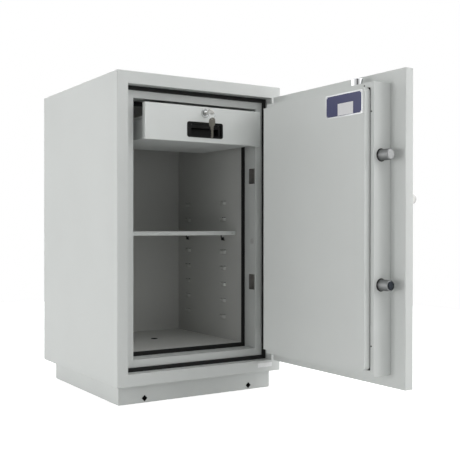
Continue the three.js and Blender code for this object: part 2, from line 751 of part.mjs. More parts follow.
/** The slab's pan: front sheet, edges and inner returns. */
function doorSkin() {
  return cut(
    roundBlock(SLAB_X0, SLAB_X1, 0, SLAB_D, SLAB_Z0, SLAB_Z1, SLAB_R),
    block(SLAB_X0 + SLAB_T, SLAB_X1 - SLAB_T, SLAB_T, SLAB_D - SLAB_RETURN_T,
      SLAB_Z0 + SLAB_T, SLAB_Z1 - SLAB_T),
    block(SLAB_WELL_X0, SLAB_WELL_X1, SLAB_T, SLAB_D + OVER, SLAB_WELL_Z, BODY_H - SLAB_WELL_Z),
    bar("y", HANDLE_X, HANDLE_Z, SPINDLE_D + 2, -OVER, SLAB_D + OVER),
    keyhole(1, -OVER, SLAB_D + OVER),
    ...leafSlots(GAP),
  );
}

/** The slab's fireproof filling. */
function doorFilling() {
  const inset = SLAB_T + GAP;
  return cut(
    block(SLAB_X0 + inset, SLAB_X1 - inset, inset, SLAB_D - SLAB_RETURN_T - GAP,
      SLAB_Z0 + inset, SLAB_Z1 - inset),
    bar("y", HANDLE_X, HANDLE_Z, SPINDLE_D + 3, 0, SLAB_D),
    keyhole(2, 0, SLAB_D),
    ...leafSlots(GAP),
  );
}

/** The first step of the door: the box that holds the bolt work, with the dogs welded on. */
function boltBox() {
  const [z0, z1] = [BOX_Z, BODY_H - BOX_Z];
  const bore = BUSH_D + 2 * GAP;
  const shell = cut(
    block(BOX_X0, BOX_X1, BOX_Y0, BOX_Y, z0, z1),
    block(BOX_X0 + BOX_T, BOX_X1 - BOX_T, BOX_Y0 - OVER, BOX_Y - BOX_T, z0 + BOX_T, z1 - BOX_T),
    block(BOX_X0 + BOX_FACE_W, BOX_X1 - BOX_FACE_W, BOX_Y0, BOX_Y + OVER,
      z0 + BOX_FACE_W, z1 - BOX_FACE_W),
    bar("x", BOLT_Y, BOLT_UPPER_Z, bore, BOX_X0 - OVER, BOX_X0 + BOX_T + OVER),
    bar("x", BOLT_Y, BOLT_LOWER_Z, bore, BOX_X0 - OVER, BOX_X0 + BOX_T + OVER),
    bar("z", TOP_BOLT_X, BOLT_Y, bore, z1 - BOX_T - OVER, z1 + OVER),
  );
  return join(shell, dog(DOG_UPPER_Z), dog(DOG_LOWER_Z));
}

/** The second step of the door: a folded cover, rounded at its free side. */
function innerCover() {
  const [z0, z1] = [COVER_Z, BODY_H - COVER_Z];
  const radii = [COVER_R, 0, 0, COVER_R];
  const inner = radii.map((radius) => Math.max(radius - COVER_T, 0));
  return cut(
    prism("y", rectangle(COVER_X0, COVER_X1, z0, z1, radii), BOX_Y + GAP, COVER_Y),
    prism("y", rectangle(COVER_X0 + COVER_T, COVER_X1 - COVER_T, z0 + COVER_T, z1 - COVER_T, inner),
      BOX_Y, COVER_Y - COVER_T),
  );
}

/** The insulating board inside the second step. */
function innerBoard() {
  const inset = COVER_T + GAP;
  const radii = [COVER_R - inset, 0, 0, COVER_R - inset];
  return prism("y", rectangle(COVER_X0 + inset, COVER_X1 - inset,
    COVER_Z + inset, BODY_H - COVER_Z - inset, radii), BOX_Y + GAP, COVER_Y - inset);
}

/** The insulating board beside the bolt work. */
function boxBoard() {
  const inset = BOX_T + GAP;
  return block(BOARD_X0, BOX_X1 - inset, PLATE_Y, BOX_Y - inset,
    BOX_Z + inset, BODY_H - BOX_Z - inset);
}

/** The plate that carries the bolt work and lock, with its three guide brackets welded on. */
function mountingPlate() {
  const inset = BOX_T + PLATE_CLEAR;
  return cut(
    join(
      block(BOX_X0 + inset, PLATE_X1, PLATE_Y, PLATE_Y + PLATE_T,
        BOX_Z + inset, BODY_H - BOX_Z - inset),
      ...boltGuides(),
    ),
    bar("y", HANDLE_X, HANDLE_Z, SPINDLE_D + SPINDLE_CLEAR, PLATE_Y - OVER, PLATE_Y + PLATE_T + OVER),
    keyhole(1, PLATE_Y - OVER, PLATE_Y + PLATE_T + OVER),
  );
}

/** A fixed dog with a bevelled tip, on the hinge side of the first step. */
function dog(z) {
  const x0 = BOX_X1 - BOX_T;
  const outline = [
    [x0, DOG_Y0],
    [DOG_TIP_X - DOG_BEVEL, DOG_Y0],
    [DOG_TIP_X, DOG_Y0 + DOG_BEVEL],
    [DOG_TIP_X, DOG_Y1 - DOG_BEVEL],
    [DOG_TIP_X - DOG_BEVEL, DOG_Y1],
    [x0, DOG_Y1],
  ];
  return prism("z", outline, z - DOG_H / 2, z + DOG_H / 2);
}

/** A flanged bush through which a bolt leaves the first step, along +x inwards from its face. */
function boltBush() {
  return cut(
    join(
      bar("x", 0, 0, BUSH_FLANGE_D, -GAP - BUSH_FLANGE_T, -GAP),
      bar("x", 0, 0, BUSH_D, -GAP - BUSH_FLANGE_T, BUSH_L),
    ),
    bar("x", 0, 0, BOLT_D + 2 * BORE_GAP, -2 * BUSH_FLANGE_T, BUSH_L + OVER),
  );
}

/** The angle brackets that guide the bolts' inner ends. */
function boltGuides() {
  const bore = BOLT_D + 2 * BORE_GAP;
  const y0 = PLATE_Y + PLATE_T / 2;
  const footY = PLATE_Y + PLATE_T + GUIDE_T;
  const side = [BOLT_UPPER_Z, BOLT_LOWER_Z].map((z) => cut(
    join(
      block(GUIDE_X, GUIDE_X + GUIDE_T, y0, GUIDE_Y1, z - GUIDE_H / 2, z + GUIDE_H / 2),
      block(GUIDE_X, GUIDE_X + GUIDE_FOOT, y0, footY, z - GUIDE_H / 2, z + GUIDE_H / 2),
    ),
    bar("x", BOLT_Y, z, bore, GUIDE_X - OVER, GUIDE_X + GUIDE_T + OVER),
  ));
  const [x0, x1] = [TOP_BOLT_X - TOP_GUIDE_W / 2, TOP_BOLT_X + TOP_GUIDE_W / 2];
  const top = cut(
    join(
      block(x0, x1, y0, GUIDE_Y1, TOP_GUIDE_Z, TOP_GUIDE_Z + GUIDE_T),
      block(x0, x1, y0, footY, TOP_GUIDE_Z - GUIDE_FOOT + GUIDE_T, TOP_GUIDE_Z + GUIDE_T),
    ),
    bar("z", TOP_BOLT_X, BOLT_Y, bore, TOP_GUIDE_Z - OVER, TOP_GUIDE_Z + GUIDE_T + OVER),
  );
  return [...side, top];
}

/** A round bolt with an eased tip, lying along +x from its tip. */
function roundBolt(length) {
  const radius = BOLT_D / 2;
  return turned([
    [0, 0],
    [0, radius - BOLT_TIP_R],
    [BOLT_TIP_R * 0.3, radius - BOLT_TIP_R * 0.3],
    [BOLT_TIP_R, radius],
    [length, radius],
    [length, 0],
  ]);
}

/** The upright bar behind the side bolts, with the slotted arm that the cam's pin moves. */
function boltBar() {
  const pinX = HANDLE_X - CAM_PIN;
  const pinZ = HANDLE_Z + CAM_PIN;
  const arm = CAM_FACE_Y + 1;
  const half = CAM_PIN_D / 2 + SLOT_GAP;
  const strip = block(BAR_X, BAR_X + BAR_T, BAR_Y0, BAR_Y1,
    BOLT_LOWER_Z - BAR_OVER, BOLT_UPPER_Z + BAR_OVER);
  const plate = block(ARM_X0, BAR_X + OVER, arm, arm + ARM_T, pinZ - ARM_H / 2, pinZ + ARM_H / 2);
  const slot = block(pinX - half, pinX + half, arm - OVER, arm + ARM_T + OVER,
    pinZ - SLOT_L / 2, pinZ + SLOT_L / 2);
  return cut(join(strip, plate), slot);
}

/** The cam disc on the spindle, with a pin on each face. */
function camDisc() {
  const z = HANDLE_Z + CAM_PIN;
  return cut(
    join(
      bar("y", HANDLE_X, HANDLE_Z, 2 * CAM_R, CAM_Y, CAM_FACE_Y),
      bar("y", HANDLE_X - CAM_PIN, z, 2 * CAM_LOBE_R, CAM_Y, CAM_FACE_Y, 24),
      bar("y", HANDLE_X + CAM_PIN, z, 2 * CAM_LOBE_R, CAM_Y, CAM_FACE_Y, 24),
      bar("y", HANDLE_X - CAM_PIN, z, CAM_PIN_D, CAM_Y, CAM_FACE_Y + CAM_PIN_L, 20),
      bar("y", HANDLE_X + CAM_PIN, z, CAM_PIN_D, CAM_Y - CAM_PIN_L, CAM_FACE_Y, 20),
    ),
    bar("y", HANDLE_X, HANDLE_Z, SPINDLE_D + 2 * GAP, CAM_Y - OVER, CAM_FACE_Y + OVER),
  );
}

/** The rod from the cam to the top bolt, with a forked foot and a turned-in head. */
function topRod() {
  const [x0, x1] = [TOP_BOLT_X - ROD_W / 2, TOP_BOLT_X + ROD_W / 2];
  const pinZ = HANDLE_Z + CAM_PIN;
  const head = TOP_BOLT_TIP_Z - TOP_BOLT_L - GAP;
  const forkX = HANDLE_X + SPINDLE_D / 2 + FORK_CLEAR;
  const half = CAM_PIN_D / 2 + SLOT_GAP;
  const foot = block(forkX, x1, ROD_Y, ROD_Y + ROD_T, pinZ - ROD_FOOT_H / 2, pinZ + ROD_FOOT_H / 2);
  const stem = block(x0, x1, ROD_Y, ROD_Y + ROD_T, pinZ - ROD_FOOT_H / 2, head);
  const tab = block(x0, x1, ROD_Y, ROD_Y + ROD_TAB_L, head - ROD_T, head);
  const fork = block(forkX - OVER, HANDLE_X + CAM_PIN * Math.SQRT2 + half + FORK_DEEP,
    ROD_Y - OVER, ROD_Y + ROD_T + OVER, pinZ - half, pinZ + half);
  return cut(join(foot, stem, tab), fork);
}

/** The case of the key lock that blocks the bolt work. */
function lockCase() {
  return cut(
    block(LOCK_CASE_X0, LOCK_CASE_X0 + LOCK_CASE_W, PLATE_FACE_Y, PLATE_FACE_Y + LOCK_CASE_T,
      LOCK_Z - LOCK_CASE_H / 2, LOCK_Z + LOCK_CASE_H / 2),
    keyhole(0, PLATE_FACE_Y - OVER, PLATE_FACE_Y + LOCK_CASE_T - 3),
  );
}

/** The outside grip: a round bar with domed ends on a neck, about the spindle's axis. */
function handleGrip() {
  const radius = GRIP_D / 2;
  const straight = GRIP_L - 2 * radius;
  const profile = [[0, 0]];
  for (let k = 1; k <= 4; k += 1) {
    const angle = (Math.PI / 2) * (k / 4);
    profile.push([radius * (1 - Math.cos(angle)), radius * Math.sin(angle)]);
  }
  for (let k = 0; k < 4; k += 1) {
    const angle = (Math.PI / 2) * (k / 4);
    profile.push([radius + straight + radius * Math.sin(angle), radius * Math.cos(angle)]);
  }
  profile.push([GRIP_L, 0]);
  const grip = turned(profile, 24).translate([-GRIP_L / 2, GRIP_Y, 0]);
  return join(grip, bar("y", 0, 0, NECK_D, GRIP_Y, -ROSE_T - 2 * GAP, 24));
}

/** The spindle from the grip through the slab to the cam disc. */
function spindle() {
  return bar("y", 0, 0, SPINDLE_D, -ROSE_T - GAP, CAM_FACE_Y, 24);
}

/** The round plate under the grip. */
function handleRosette() {
  return cut(
    bar("y", 0, 0, ROSE_D, -ROSE_T - GAP, -GAP, 40),
    bar("y", 0, 0, SPINDLE_D + 2 * GAP, -ROSE_T - 1, 0, 24),
  );
}

/** The plain round key escutcheon. */
function escutcheon() {
  return cut(
    bar("y", HANDLE_X, LOCK_Z, ESCUTCHEON_D, -ESCUTCHEON_T - GAP, -GAP, 40),
    keyhole(0, -ESCUTCHEON_T - OVER, 0),
  );
}

/** The drawer's front pan, with the pull's and the lock's openings. */
function drawerFront() {
  const [hole0, hole1] = pullHole(GAP);
  return cut(
    block(DRAWER_X0, DRAWER_X1, DRAWER_FRONT_Y, PAN_BACK_Y, DRAWER_Z0, DRAWER_Z1),
    block(DRAWER_X0 + PAN_T, DRAWER_X1 - PAN_T, DRAWER_FRONT_Y + PAN_T, PAN_BACK_Y + OVER,
      DRAWER_Z0 + PAN_T, DRAWER_Z1 - PAN_T),
    block(hole0[0], hole1[0], DRAWER_FRONT_Y - OVER, DRAWER_FRONT_Y + PAN_T + OVER,
      hole0[1], hole1[1]),
    bar("y", MID_X, DRAWER_LOCK_Z, DRAWER_LOCK_BODY_D + 2 * GAP,
      DRAWER_FRONT_Y - OVER, DRAWER_FRONT_Y + PAN_T + OVER),
  );
}

/** The corners of the opening for the pull's cup. */
function pullHole(spare) {
  const halfW = PULL_W / 2 - PULL_LIP + spare;
  const halfH = PULL_H / 2 - PULL_LIP + spare;
  return [[MID_X - halfW, PULL_Z - halfH], [MID_X + halfW, PULL_Z + halfH]];
}

/** The drawer's folded tray. */
function drawerTray() {
  const [hole0, hole1] = pullHole(GAP);
  const y0 = DRAWER_FRONT_Y + PAN_T + GAP;
  return cut(
    block(TRAY_X0, TRAY_X1, y0, TRAY_BACK_Y, TRAY_Z0, TRAY_Z1),
    block(TRAY_X0 + TRAY_T, TRAY_X1 - TRAY_T, y0 + TRAY_T, TRAY_BACK_Y - TRAY_T,
      TRAY_Z0 + TRAY_T, TRAY_Z1 + OVER),
    block(hole0[0], hole1[0], y0 - OVER, y0 + TRAY_T + OVER, hole0[1], hole1[1]),
  );
}

/** The recessed pull: a lipped cup with a shallow ledge above the finger well. */
function drawerPull() {
  const [x0, x1] = [MID_X - PULL_W / 2, MID_X + PULL_W / 2];
  const [z0, z1] = [PULL_Z - PULL_H / 2, PULL_Z + PULL_H / 2];
  const face = DRAWER_FRONT_Y - GAP - PULL_LIP_T;
  const [c0, c1] = pullHole(0);
  const rim = PULL_LIP + PULL_WALL;
  const round = [PULL_R, PULL_R, PULL_R, PULL_R];
  const soft = [2, 2, 2, 2];
  return cut(
    join(
      prism("y", rectangle(x0, x1, z0, z1, round), face, face + PULL_LIP_T),
      block(c0[0], c1[0], face, DRAWER_FRONT_Y + PULL_DEPTH, c0[1], c1[1]),
    ),
    prism("y", rectangle(x0 + rim, x1 - rim, z0 + rim, z1 - rim, soft), face - OVER,
      face + PULL_SHALLOW),
    prism("y", rectangle(x0 + rim + PULL_WELL_IN, x1 - rim - PULL_WELL_IN,
      z0 + rim, z1 - rim - PULL_LEDGE_H, soft), face - OVER, DRAWER_FRONT_Y + PULL_DEPTH - PULL_WALL),
  );
}

/** The drawer lock's flanged barrel, with its keyway; built about the lock's axis. */
function lockBarrel() {
  const front = DRAWER_FRONT_Y - GAP;
  const radius = DRAWER_LOCK_D / 2;
  const made = join(
    bar("y", 0, 0, DRAWER_LOCK_D, front - DRAWER_LOCK_FLANGE + 0.8, front),
    bar("y", 0, 0, 2 * radius - 2, front - DRAWER_LOCK_FLANGE, front),
    bar("y", 0, 0, DRAWER_LOCK_BODY_D, front - 1, DRAWER_LOCK_BACK_Y),
  );
  const way = block(-KEY_T / 2 - GAP, KEY_T / 2 + GAP, front - DRAWER_LOCK_FLANGE - OVER,
    KEY_TIP_Y + 1, -KEY_NECK_W / 2 - GAP, KEY_NECK_W / 2 + GAP);
  return cut(made, way.rotate([0, -KEY_TILT_DEG, 0]));
}

/** The cam behind the drawer lock, lying towards -x when unlocked. */
function lockCam() {
  const y0 = DRAWER_LOCK_BACK_Y + GAP;
  const half = LOCK_CAM_W / 2;
  return join(
    bar("y", 0, 0, DRAWER_LOCK_BODY_D - 2, y0, y0 + LOCK_CAM_T, 24),
    block(-LOCK_CAM_L, 0, y0, y0 + LOCK_CAM_T, -half, half),
  );
}

/** The key in the drawer lock; its plane is upright before it is tilted. */
function drawerKey() {
  const half = KEY_NECK_W / 2;
  const flat = join(
    prism("x", circle(KEY_BOW_Y, 0, KEY_BOW_R, 28), -KEY_T / 2, KEY_T / 2),
    block(-KEY_T / 2, KEY_T / 2, KEY_BOW_Y, KEY_TIP_Y, -half, half),
  );
  const drilled = cut(flat, prism("x", circle(RING_HOLE_Y, 0, RING_HOLE_R, 20), -KEY_T, KEY_T));
  return drilled.rotate([0, -KEY_TILT_DEG, 0]);
}

/** The split ring, hanging in the key's bow. */
function keyRing() {
  const geometry = new THREE.TorusGeometry(RING_R, RING_WIRE_R, 6, 24);
  geometry.rotateX(Math.PI / 2);
  return solid(geometry);
}

/** The spare key, hanging from the ring; its hole is at the origin. */
function spareKey() {
  const centre = -SPARE_BOW_DROP;
  const half = SPARE_BLADE_W / 2;
  const tip = centre - SPARE_BOW_R - SPARE_BLADE_L + 1.5;
  const blade = cut(
    block(-KEY_T / 2, KEY_T / 2, -half, half, tip, centre),
    ...[6, 12, 17, 23].map((along, i) => block(-KEY_T, KEY_T, half - SPARE_CUT + (i % 2) * 0.8,
      half + OVER, tip + along - 1.6, tip + along + 1.6)),
  );
  return cut(
    join(prism("x", circle(centre, 0, SPARE_BOW_R, 28).map(([v, u]) => [u, v]), -KEY_T / 2, KEY_T / 2),
      blade),
    prism("x", circle(0, 0, SPARE_HOLE_R, 16), -KEY_T, KEY_T),
  );
}

/** Everything that stands still. */
function buildBody(body) {
  const inner = STEP2_Y + FRAME_T + GAP;
  const [low, high] = [INNER_Z - LINER_T, INNER_Z1 + LINER_T];
  const back = [BACK_T, CASING_T + GAP];
  piece(body, "outer_casing", outerCasing(), PAINT);
  piece(body, "back_panel", block(back[1], BODY_W - back[1], BODY_D - back[0], BODY_D,
    back[1], BODY_H - back[1]), PAINT);
  piece(body, "plinth", plinth(), PAINT);
  piece(body, "front_frame", frontFrame(), PAINT_INSIDE);
  piece(body, "body_insulation", bodyInsulation(), FILL);
  piece(body, "liner_left", linerSide(1), PAINT_INSIDE);
  piece(body, "liner_right", linerSide(-1), PAINT_INSIDE);
  piece(body, "liner_top", linerPanel(inner, INNER_BACK_Y - GAP, INNER_Z1, high), PAINT_INSIDE);
  piece(body, "liner_floor", cut(linerPanel(inner, INNER_BACK_Y - GAP, low, INNER_Z),
    bar("z", MID_X, ANCHOR_Y, ANCHOR_D, low - OVER, INNER_Z + OVER)), PAINT_INSIDE);
  piece(body, "liner_back", linerPanel(INNER_BACK_Y, INNER_BACK_Y + LINER_T, low, high), PAINT_INSIDE);
  piece(body, "seal_outer", sealRing(STILE_W, RAIL_H, SEAL1_W, SEAL1_Y, STEP1_Y - GAP), BLACK);
  piece(body, "seal_inner", sealRing(SECOND_X, SECOND_Z, INNER_X - SECOND_X - GAP,
    SEAL2_Y, STEP2_Y - GAP), BLACK);
  piece(body, "shelf", shelf(), PAINT);
  piece(body, "drawer_catch", drawerCatch(), ZINC);
  for (const [name, side] of [["left", 1], ["right", -1]]) {
    piece(body, `runner_fixed_${name}`, channel(side, GAP, FIXED_D, FIXED_H, FIXED_Y0, FIXED_Y1), ZINC);
    piece(body, `shelf_clip_front_${name}`, shelfClip(side, LUG_FRONT_Y), BLACK);
    piece(body, `shelf_clip_rear_${name}`, shelfClip(side, LUG_BACK_Y), BLACK);
  }
  for (const [name, z] of [["lower", HINGE_LOWER_Z], ["upper", HINGE_UPPER_Z]]) {
    piece(body, `hinge_leaf_body_${name}`, hingeBodyLeaf(), STEEL, [HINGE_X, HINGE_Y, z]);
    piece(body, `hinge_pin_${name}`, hingePin(), STEEL, [HINGE_X, HINGE_Y, z]);
  }
}

/** The door, in the body's coordinates as if it were closed. */
function buildDoor(door) {
  piece(door, "door_skin", doorSkin(), PAINT);
  piece(door, "door_filling", doorFilling(), FILL);
  piece(door, "bolt_box", boltBox(), PAINT);
  piece(door, "box_board", boxBoard(), BOARD);
  piece(door, "inner_cover", innerCover(), PAINT);
  piece(door, "inner_board", innerBoard(), BOARD);
  piece(door, "mounting_plate", mountingPlate(), ZINC);
  piece(door, "bolt_bush_upper", boltBush(), BLACK, [BOX_X0, BOLT_Y, BOLT_UPPER_Z]);
  piece(door, "bolt_bush_lower", boltBush(), BLACK, [BOX_X0, BOLT_Y, BOLT_LOWER_Z]);
  const topBush = piece(door, "bolt_bush_top", boltBush(), BLACK,
    [TOP_BOLT_X, BOLT_Y, BODY_H - BOX_Z]);
  topBush.rotation.y = Math.PI / 2;
  piece(door, "lock_case", lockCase(), ZINC);
  piece(door, "escutcheon", escutcheon(), CHROME);
  piece(door, "handle_rosette", handleRosette(), CHROME, [HANDLE_X, 0, HANDLE_Z]);
  for (const [name, z] of [["lower", HINGE_LOWER_Z], ["upper", HINGE_UPPER_Z]]) {
    piece(door, `hinge_leaf_door_${name}`, hingeDoorLeaf(), STEEL, [HINGE_X, HINGE_Y, z]);
  }
  const handle = nest(door, "handle", [HANDLE_X, 0, HANDLE_Z]);
  piece(handle, "handle_grip", handleGrip(), SATIN);
  piece(handle, "handle_spindle", spindle(), STEEL);
  piece(door, "cam_disc", camDisc(), ZINC);
  const bolts = nest(door, "side_bolts");
  piece(bolts, "bolt_bar", boltBar(), ZINC);
  piece(bolts, "side_bolt_upper", roundBolt(BOLT_L), SATIN, [BOLT_TIP_X, BOLT_Y, BOLT_UPPER_Z]);
  piece(bolts, "side_bolt_lower", roundBolt(BOLT_L), SATIN, [BOLT_TIP_X, BOLT_Y, BOLT_LOWER_Z]);
  const top = nest(door, "top_bolt_set");
  piece(top, "top_rod", topRod(), ZINC);
  const topBolt = piece(top, "top_bolt", roundBolt(TOP_BOLT_L), CHROME,
    [TOP_BOLT_X, BOLT_Y, TOP_BOLT_TIP_Z]);
  topBolt.rotation.y = Math.PI / 2;
}

/** The drawer, drawn out as far as the open door's steps. */
function buildDrawer(drawer) {
  for (const [name, side] of [["left", 1], ["right", -1]]) {
    piece(drawer, `runner_middle_${name}`,
      channel(side, MIDDLE_D0, MIDDLE_D1, MIDDLE_H, MIDDLE_Y0, MIDDLE_Y1), ZINC);
    piece(drawer, `runner_drawer_${name}`, runnerMember(side), ZINC);
  }
  piece(drawer, "drawer_front", drawerFront(), PAINT);
  piece(drawer, "drawer_tray", drawerTray(), PAINT);
  piece(drawer, "drawer_pull", drawerPull(), BLACK);
  const lock = nest(drawer, "drawer_lock", [MID_X, 0, DRAWER_LOCK_Z]);
  piece(lock, "lock_barrel", lockBarrel(), CHROME);
  piece(lock, "lock_cam", lockCam(), ZINC);
  piece(lock, "drawer_key", drawerKey(), CHROME);
  piece(lock, "key_ring", keyRing(), CHROME, [0, RING_HOLE_Y, -RING_R]);
  piece(lock, "spare_key", spareKey(), CHROME, [0, RING_HOLE_Y,
    -2 * RING_R - (SPARE_HOLE_R - RING_WIRE_R - GAP)]);
}

const safe = new THREE.Group();
safe.name = "fireproof_safe";
const bodyGroup = nest(safe, "body", [-BODY_W / 2, -BODY_D / 2, PLINTH_H]);
buildBody(bodyGroup);
buildDrawer(nest(bodyGroup, "drawer"));
const doorPivot = nest(bodyGroup, "door_pivot", [HINGE_X, HINGE_Y, 0]);
doorPivot.rotation.z = THREE.MathUtils.degToRad(DOOR_OPEN_DEG);
buildDoor(nest(doorPivot, "door", [-HINGE_X, -HINGE_Y, 0]));

export default safe;
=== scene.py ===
"""Looks for an upright fireproof safe that stands open.

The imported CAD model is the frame: its sheets, boards and bolt work keep their shapes and get
their finishes here. The turned, cast and printed pieces, the screws and the plates are modelled
on top of it. Places are in millimetres from the safe's own corner, as on a workshop drawing:
x from the body's left side, y back from its front face, z up from its underside. The door's
places are those of the shut door.
"""

import logging
import math
from dataclasses import dataclass
from enum import Enum
from functools import cache
from typing import Iterable, Sequence

import bmesh
import bpy
from mathutils import Matrix, Vector


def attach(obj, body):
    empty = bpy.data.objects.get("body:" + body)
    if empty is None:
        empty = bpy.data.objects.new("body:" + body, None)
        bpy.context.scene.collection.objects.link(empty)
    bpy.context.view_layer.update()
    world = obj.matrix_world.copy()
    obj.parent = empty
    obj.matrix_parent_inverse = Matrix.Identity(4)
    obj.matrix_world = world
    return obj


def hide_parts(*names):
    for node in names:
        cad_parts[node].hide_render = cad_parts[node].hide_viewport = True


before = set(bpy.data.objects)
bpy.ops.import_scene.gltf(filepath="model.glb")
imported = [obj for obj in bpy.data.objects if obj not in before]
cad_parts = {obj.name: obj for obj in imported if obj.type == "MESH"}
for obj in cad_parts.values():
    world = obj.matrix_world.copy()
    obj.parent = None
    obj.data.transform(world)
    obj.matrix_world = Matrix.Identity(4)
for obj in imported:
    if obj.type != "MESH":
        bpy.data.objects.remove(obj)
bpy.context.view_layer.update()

LOG = logging.getLogger("safe")

Colour = tuple[float, float, float]
Point = tuple[float, float, float]
Pair = tuple[float, float]
Shape = bmesh.types.BMesh
Material = bpy.types.Material
Socket = bpy.types.NodeSocket
Inputs = dict[str | int, float | Sequence[float] | Socket]

MILLIMETRE = 0.001
BODY_WIDTH = 540.0
BODY_DEPTH = 498.0
PLINTH_HEIGHT = 52.0
HINGE_X = 524.2
HINGE_Y = -2.8
DOOR_ANGLE = 90.64
SPINDLE_X = 100.0
SPINDLE_Z = 486.0
SIDES = ("left", "right")
LEVELS = ("lower", "upper")

SAME_PLACE = 1e-5
ON_PLANE = 1e-6
LOOKS_UP = 0.9
SHARP_ABOVE = math.radians(35)
EASED_ABOVE = math.radians(40)
FLAT_WITHIN = math.radians(0.5)

BODY_PLACE = (
    Matrix.Scale(MILLIMETRE, 4)
    @ Matrix.Translation((-BODY_WIDTH / 2, -BODY_DEPTH / 2, PLINTH_HEIGHT))
)
DOOR_PLACE = (
    BODY_PLACE
    @ Matrix.Translation((HINGE_X, HINGE_Y, 0))
    @ Matrix.Rotation(math.radians(DOOR_ANGLE), 4, "Z")
    @ Matrix.Translation((-HINGE_X, -HINGE_Y, 0))
)


class Facing(Enum):
    """The way that a piece modelled about +Z looks once it is in place."""

    UP = Matrix.Identity(4)
    FRONT = Matrix.Rotation(math.radians(90), 4, "X")
    BACK = Matrix.Rotation(math.radians(-90), 4, "X")
    LEFT = Matrix.Rotation(math.radians(-90), 4, "Y")


class Graph:
    """A node tree, whose nodes are added and wired by what they are for."""

    pattern_low = 0.3
    pattern_high = 0.7

    def __init__(self, block: Material | bpy.types.World) -> None:
        """Takes up the node tree of a material or of the sky."""
        block.use_nodes = True
        self.tree = block.node_tree

    def fill(self, node: bpy.types.Node, inputs: Inputs) -> None:
        """Links or sets a node's inputs.

        Args:
            node: the node.
            inputs: a socket to link or a value to set, by the input's name or number.
        """
        for key, value in inputs.items():
            if isinstance(value, Socket):
                self.tree.links.new(value, node.inputs[key])
            else:
                node.inputs[key].default_value = value

    def add(self, kind: str, inputs: Inputs, **options: str) -> bpy.types.NodeOutputs:
        """Adds a node and fills its inputs.

        Args:
            kind: the node's type, without the prefix that they all share.
            inputs: what its inputs get.
            options: the node's own settings.

        Returns:
            The node's outputs.
        """
        node = self.tree.nodes.new(f"ShaderNode{kind}")
        for name, choice in options.items():
            setattr(node, name, choice)
        self.fill(node, inputs)
        return node.outputs

    def noise(self, per_metre: float, detail: float = 2.0,
              scale: Sequence[float] = (1, 1, 1)) -> Socket:
        """Adds a noise pattern on the object's own coordinates.

        Args:
            per_metre: how many of its features lie in a metre.
            detail: its octaves.
            scale: how many times finer it is along each axis, for grain that runs one way.

        Returns:
            The pattern's value, about 0.5 on average.
        """
        place = self.add("TexCoord", {})["Object"]
        place = self.add("Mapping", {"Vector": place, "Scale": scale})["Vector"]
        inputs = {"Vector": place, "Scale": per_metre, "Detail": detail}
        return self.add("TexNoise", inputs)["Fac"]

    def spread(self, pattern: Socket, low: float, high: float) -> Socket:
        """Maps the middle range of a pattern to the range from low to high."""
        inputs = {"Value": pattern, "From Min": self.pattern_low, "From Max": self.pattern_high,
                  "To Min": low, "To Max": high}
        return self.add("MapRange", inputs)["Result"]

    def between(self, pattern: Socket, first: Colour, second: Colour) -> Socket:
        """Blends two linear colours by a pattern, the first where it is low."""
        inputs = {"Factor": self.spread(pattern, 0.0, 1.0), "A": (*first, 1), "B": (*second, 1)}
        return self.add("Mix", inputs, data_type="RGBA")["Result"]

    def relief(self, height: Socket, strength: float, depth_mm: float,
               under: Socket | None = None) -> Socket:
        """Adds a bump.

        Args:
            height: the pattern that gives the surface its height.
            strength: how strong it shows.
            depth_mm: how deep it is, in millimetres.
            under: a coarser bump that it lies on.

        Returns:
            The normal.
        """
        inputs = {"Height": height, "Strength": strength, "Distance": depth_mm * MILLIMETRE}
        if under is not None:
            inputs["Normal"] = under
        return self.add("Bump", inputs)["Normal"]

    def larger(self, first: Socket, second: Socket) -> Socket:
        """Gives the larger of two values."""
        return self.add("Math", {0: first, 1: second}, operation="MAXIMUM")[0]

    def seen_directly(self) -> Socket:
        """Gives 1 for the camera's own view and for mirrors and glass, and 0 for light."""
        path = self.add("LightPath", {})
        seen = self.larger(path["Is Camera Ray"], path["Is Glossy Ray"])
        return self.larger(seen, path["Is Transmission Ray"])


def shade(colour: Colour, factor: float) -> Colour:
    """Makes a colour lighter or darker by a factor."""
    return tuple(min(1.0, channel * factor) for channel in colour)


@dataclass(frozen=True)
class Finish:
    """A finish, whose material is built when a piece first takes it."""

    name: str
    colour: Colour

    def surface(self, graph: Graph) -> Inputs:
        """Builds the patterns that this kind of finish is made of.

        Args:
            graph: the new material's graph.

        Returns:
            What the shader's inputs get.
        """
        raise NotImplementedError

    @cache
    def material(self) -> Material:
        """Builds the material, and gives the same one from then on."""
        material = bpy.data.materials.new(self.name)
        graph = Graph(material)
        graph.fill(graph.tree.nodes["Principled BSDF"], self.surface(graph))
        return material


@dataclass(frozen=True)
class PowderCoat(Finish):
    """Baked paint on sheet steel: an even colour with a fine orange peel."""

    gloss: float = 0.48

    def surface(self, graph: Graph) -> Inputs:
        """Gives the paint faint clouds in colour and gloss, broad waves and its peel."""
        clouds = graph.noise(per_metre=5.0, detail=3.0)
        specks = graph.noise(per_metre=900.0, detail=1.0)
        waves = graph.relief(graph.noise(per_metre=14.0, detail=1.0), strength=0.05, depth_mm=0.6)
        peel = graph.noise(per_metre=420.0)
        return {
            "Base Color": graph.between(clouds, shade(self.colour, 0.985),
                                        shade(self.colour, 1.015)),
            "Roughness": graph.spread(specks, self.gloss - 0.03, self.gloss + 0.05),
            "Normal": graph.relief(peel, strength=0.1, depth_mm=0.05, under=waves),
            "IOR": 1.5,
        }


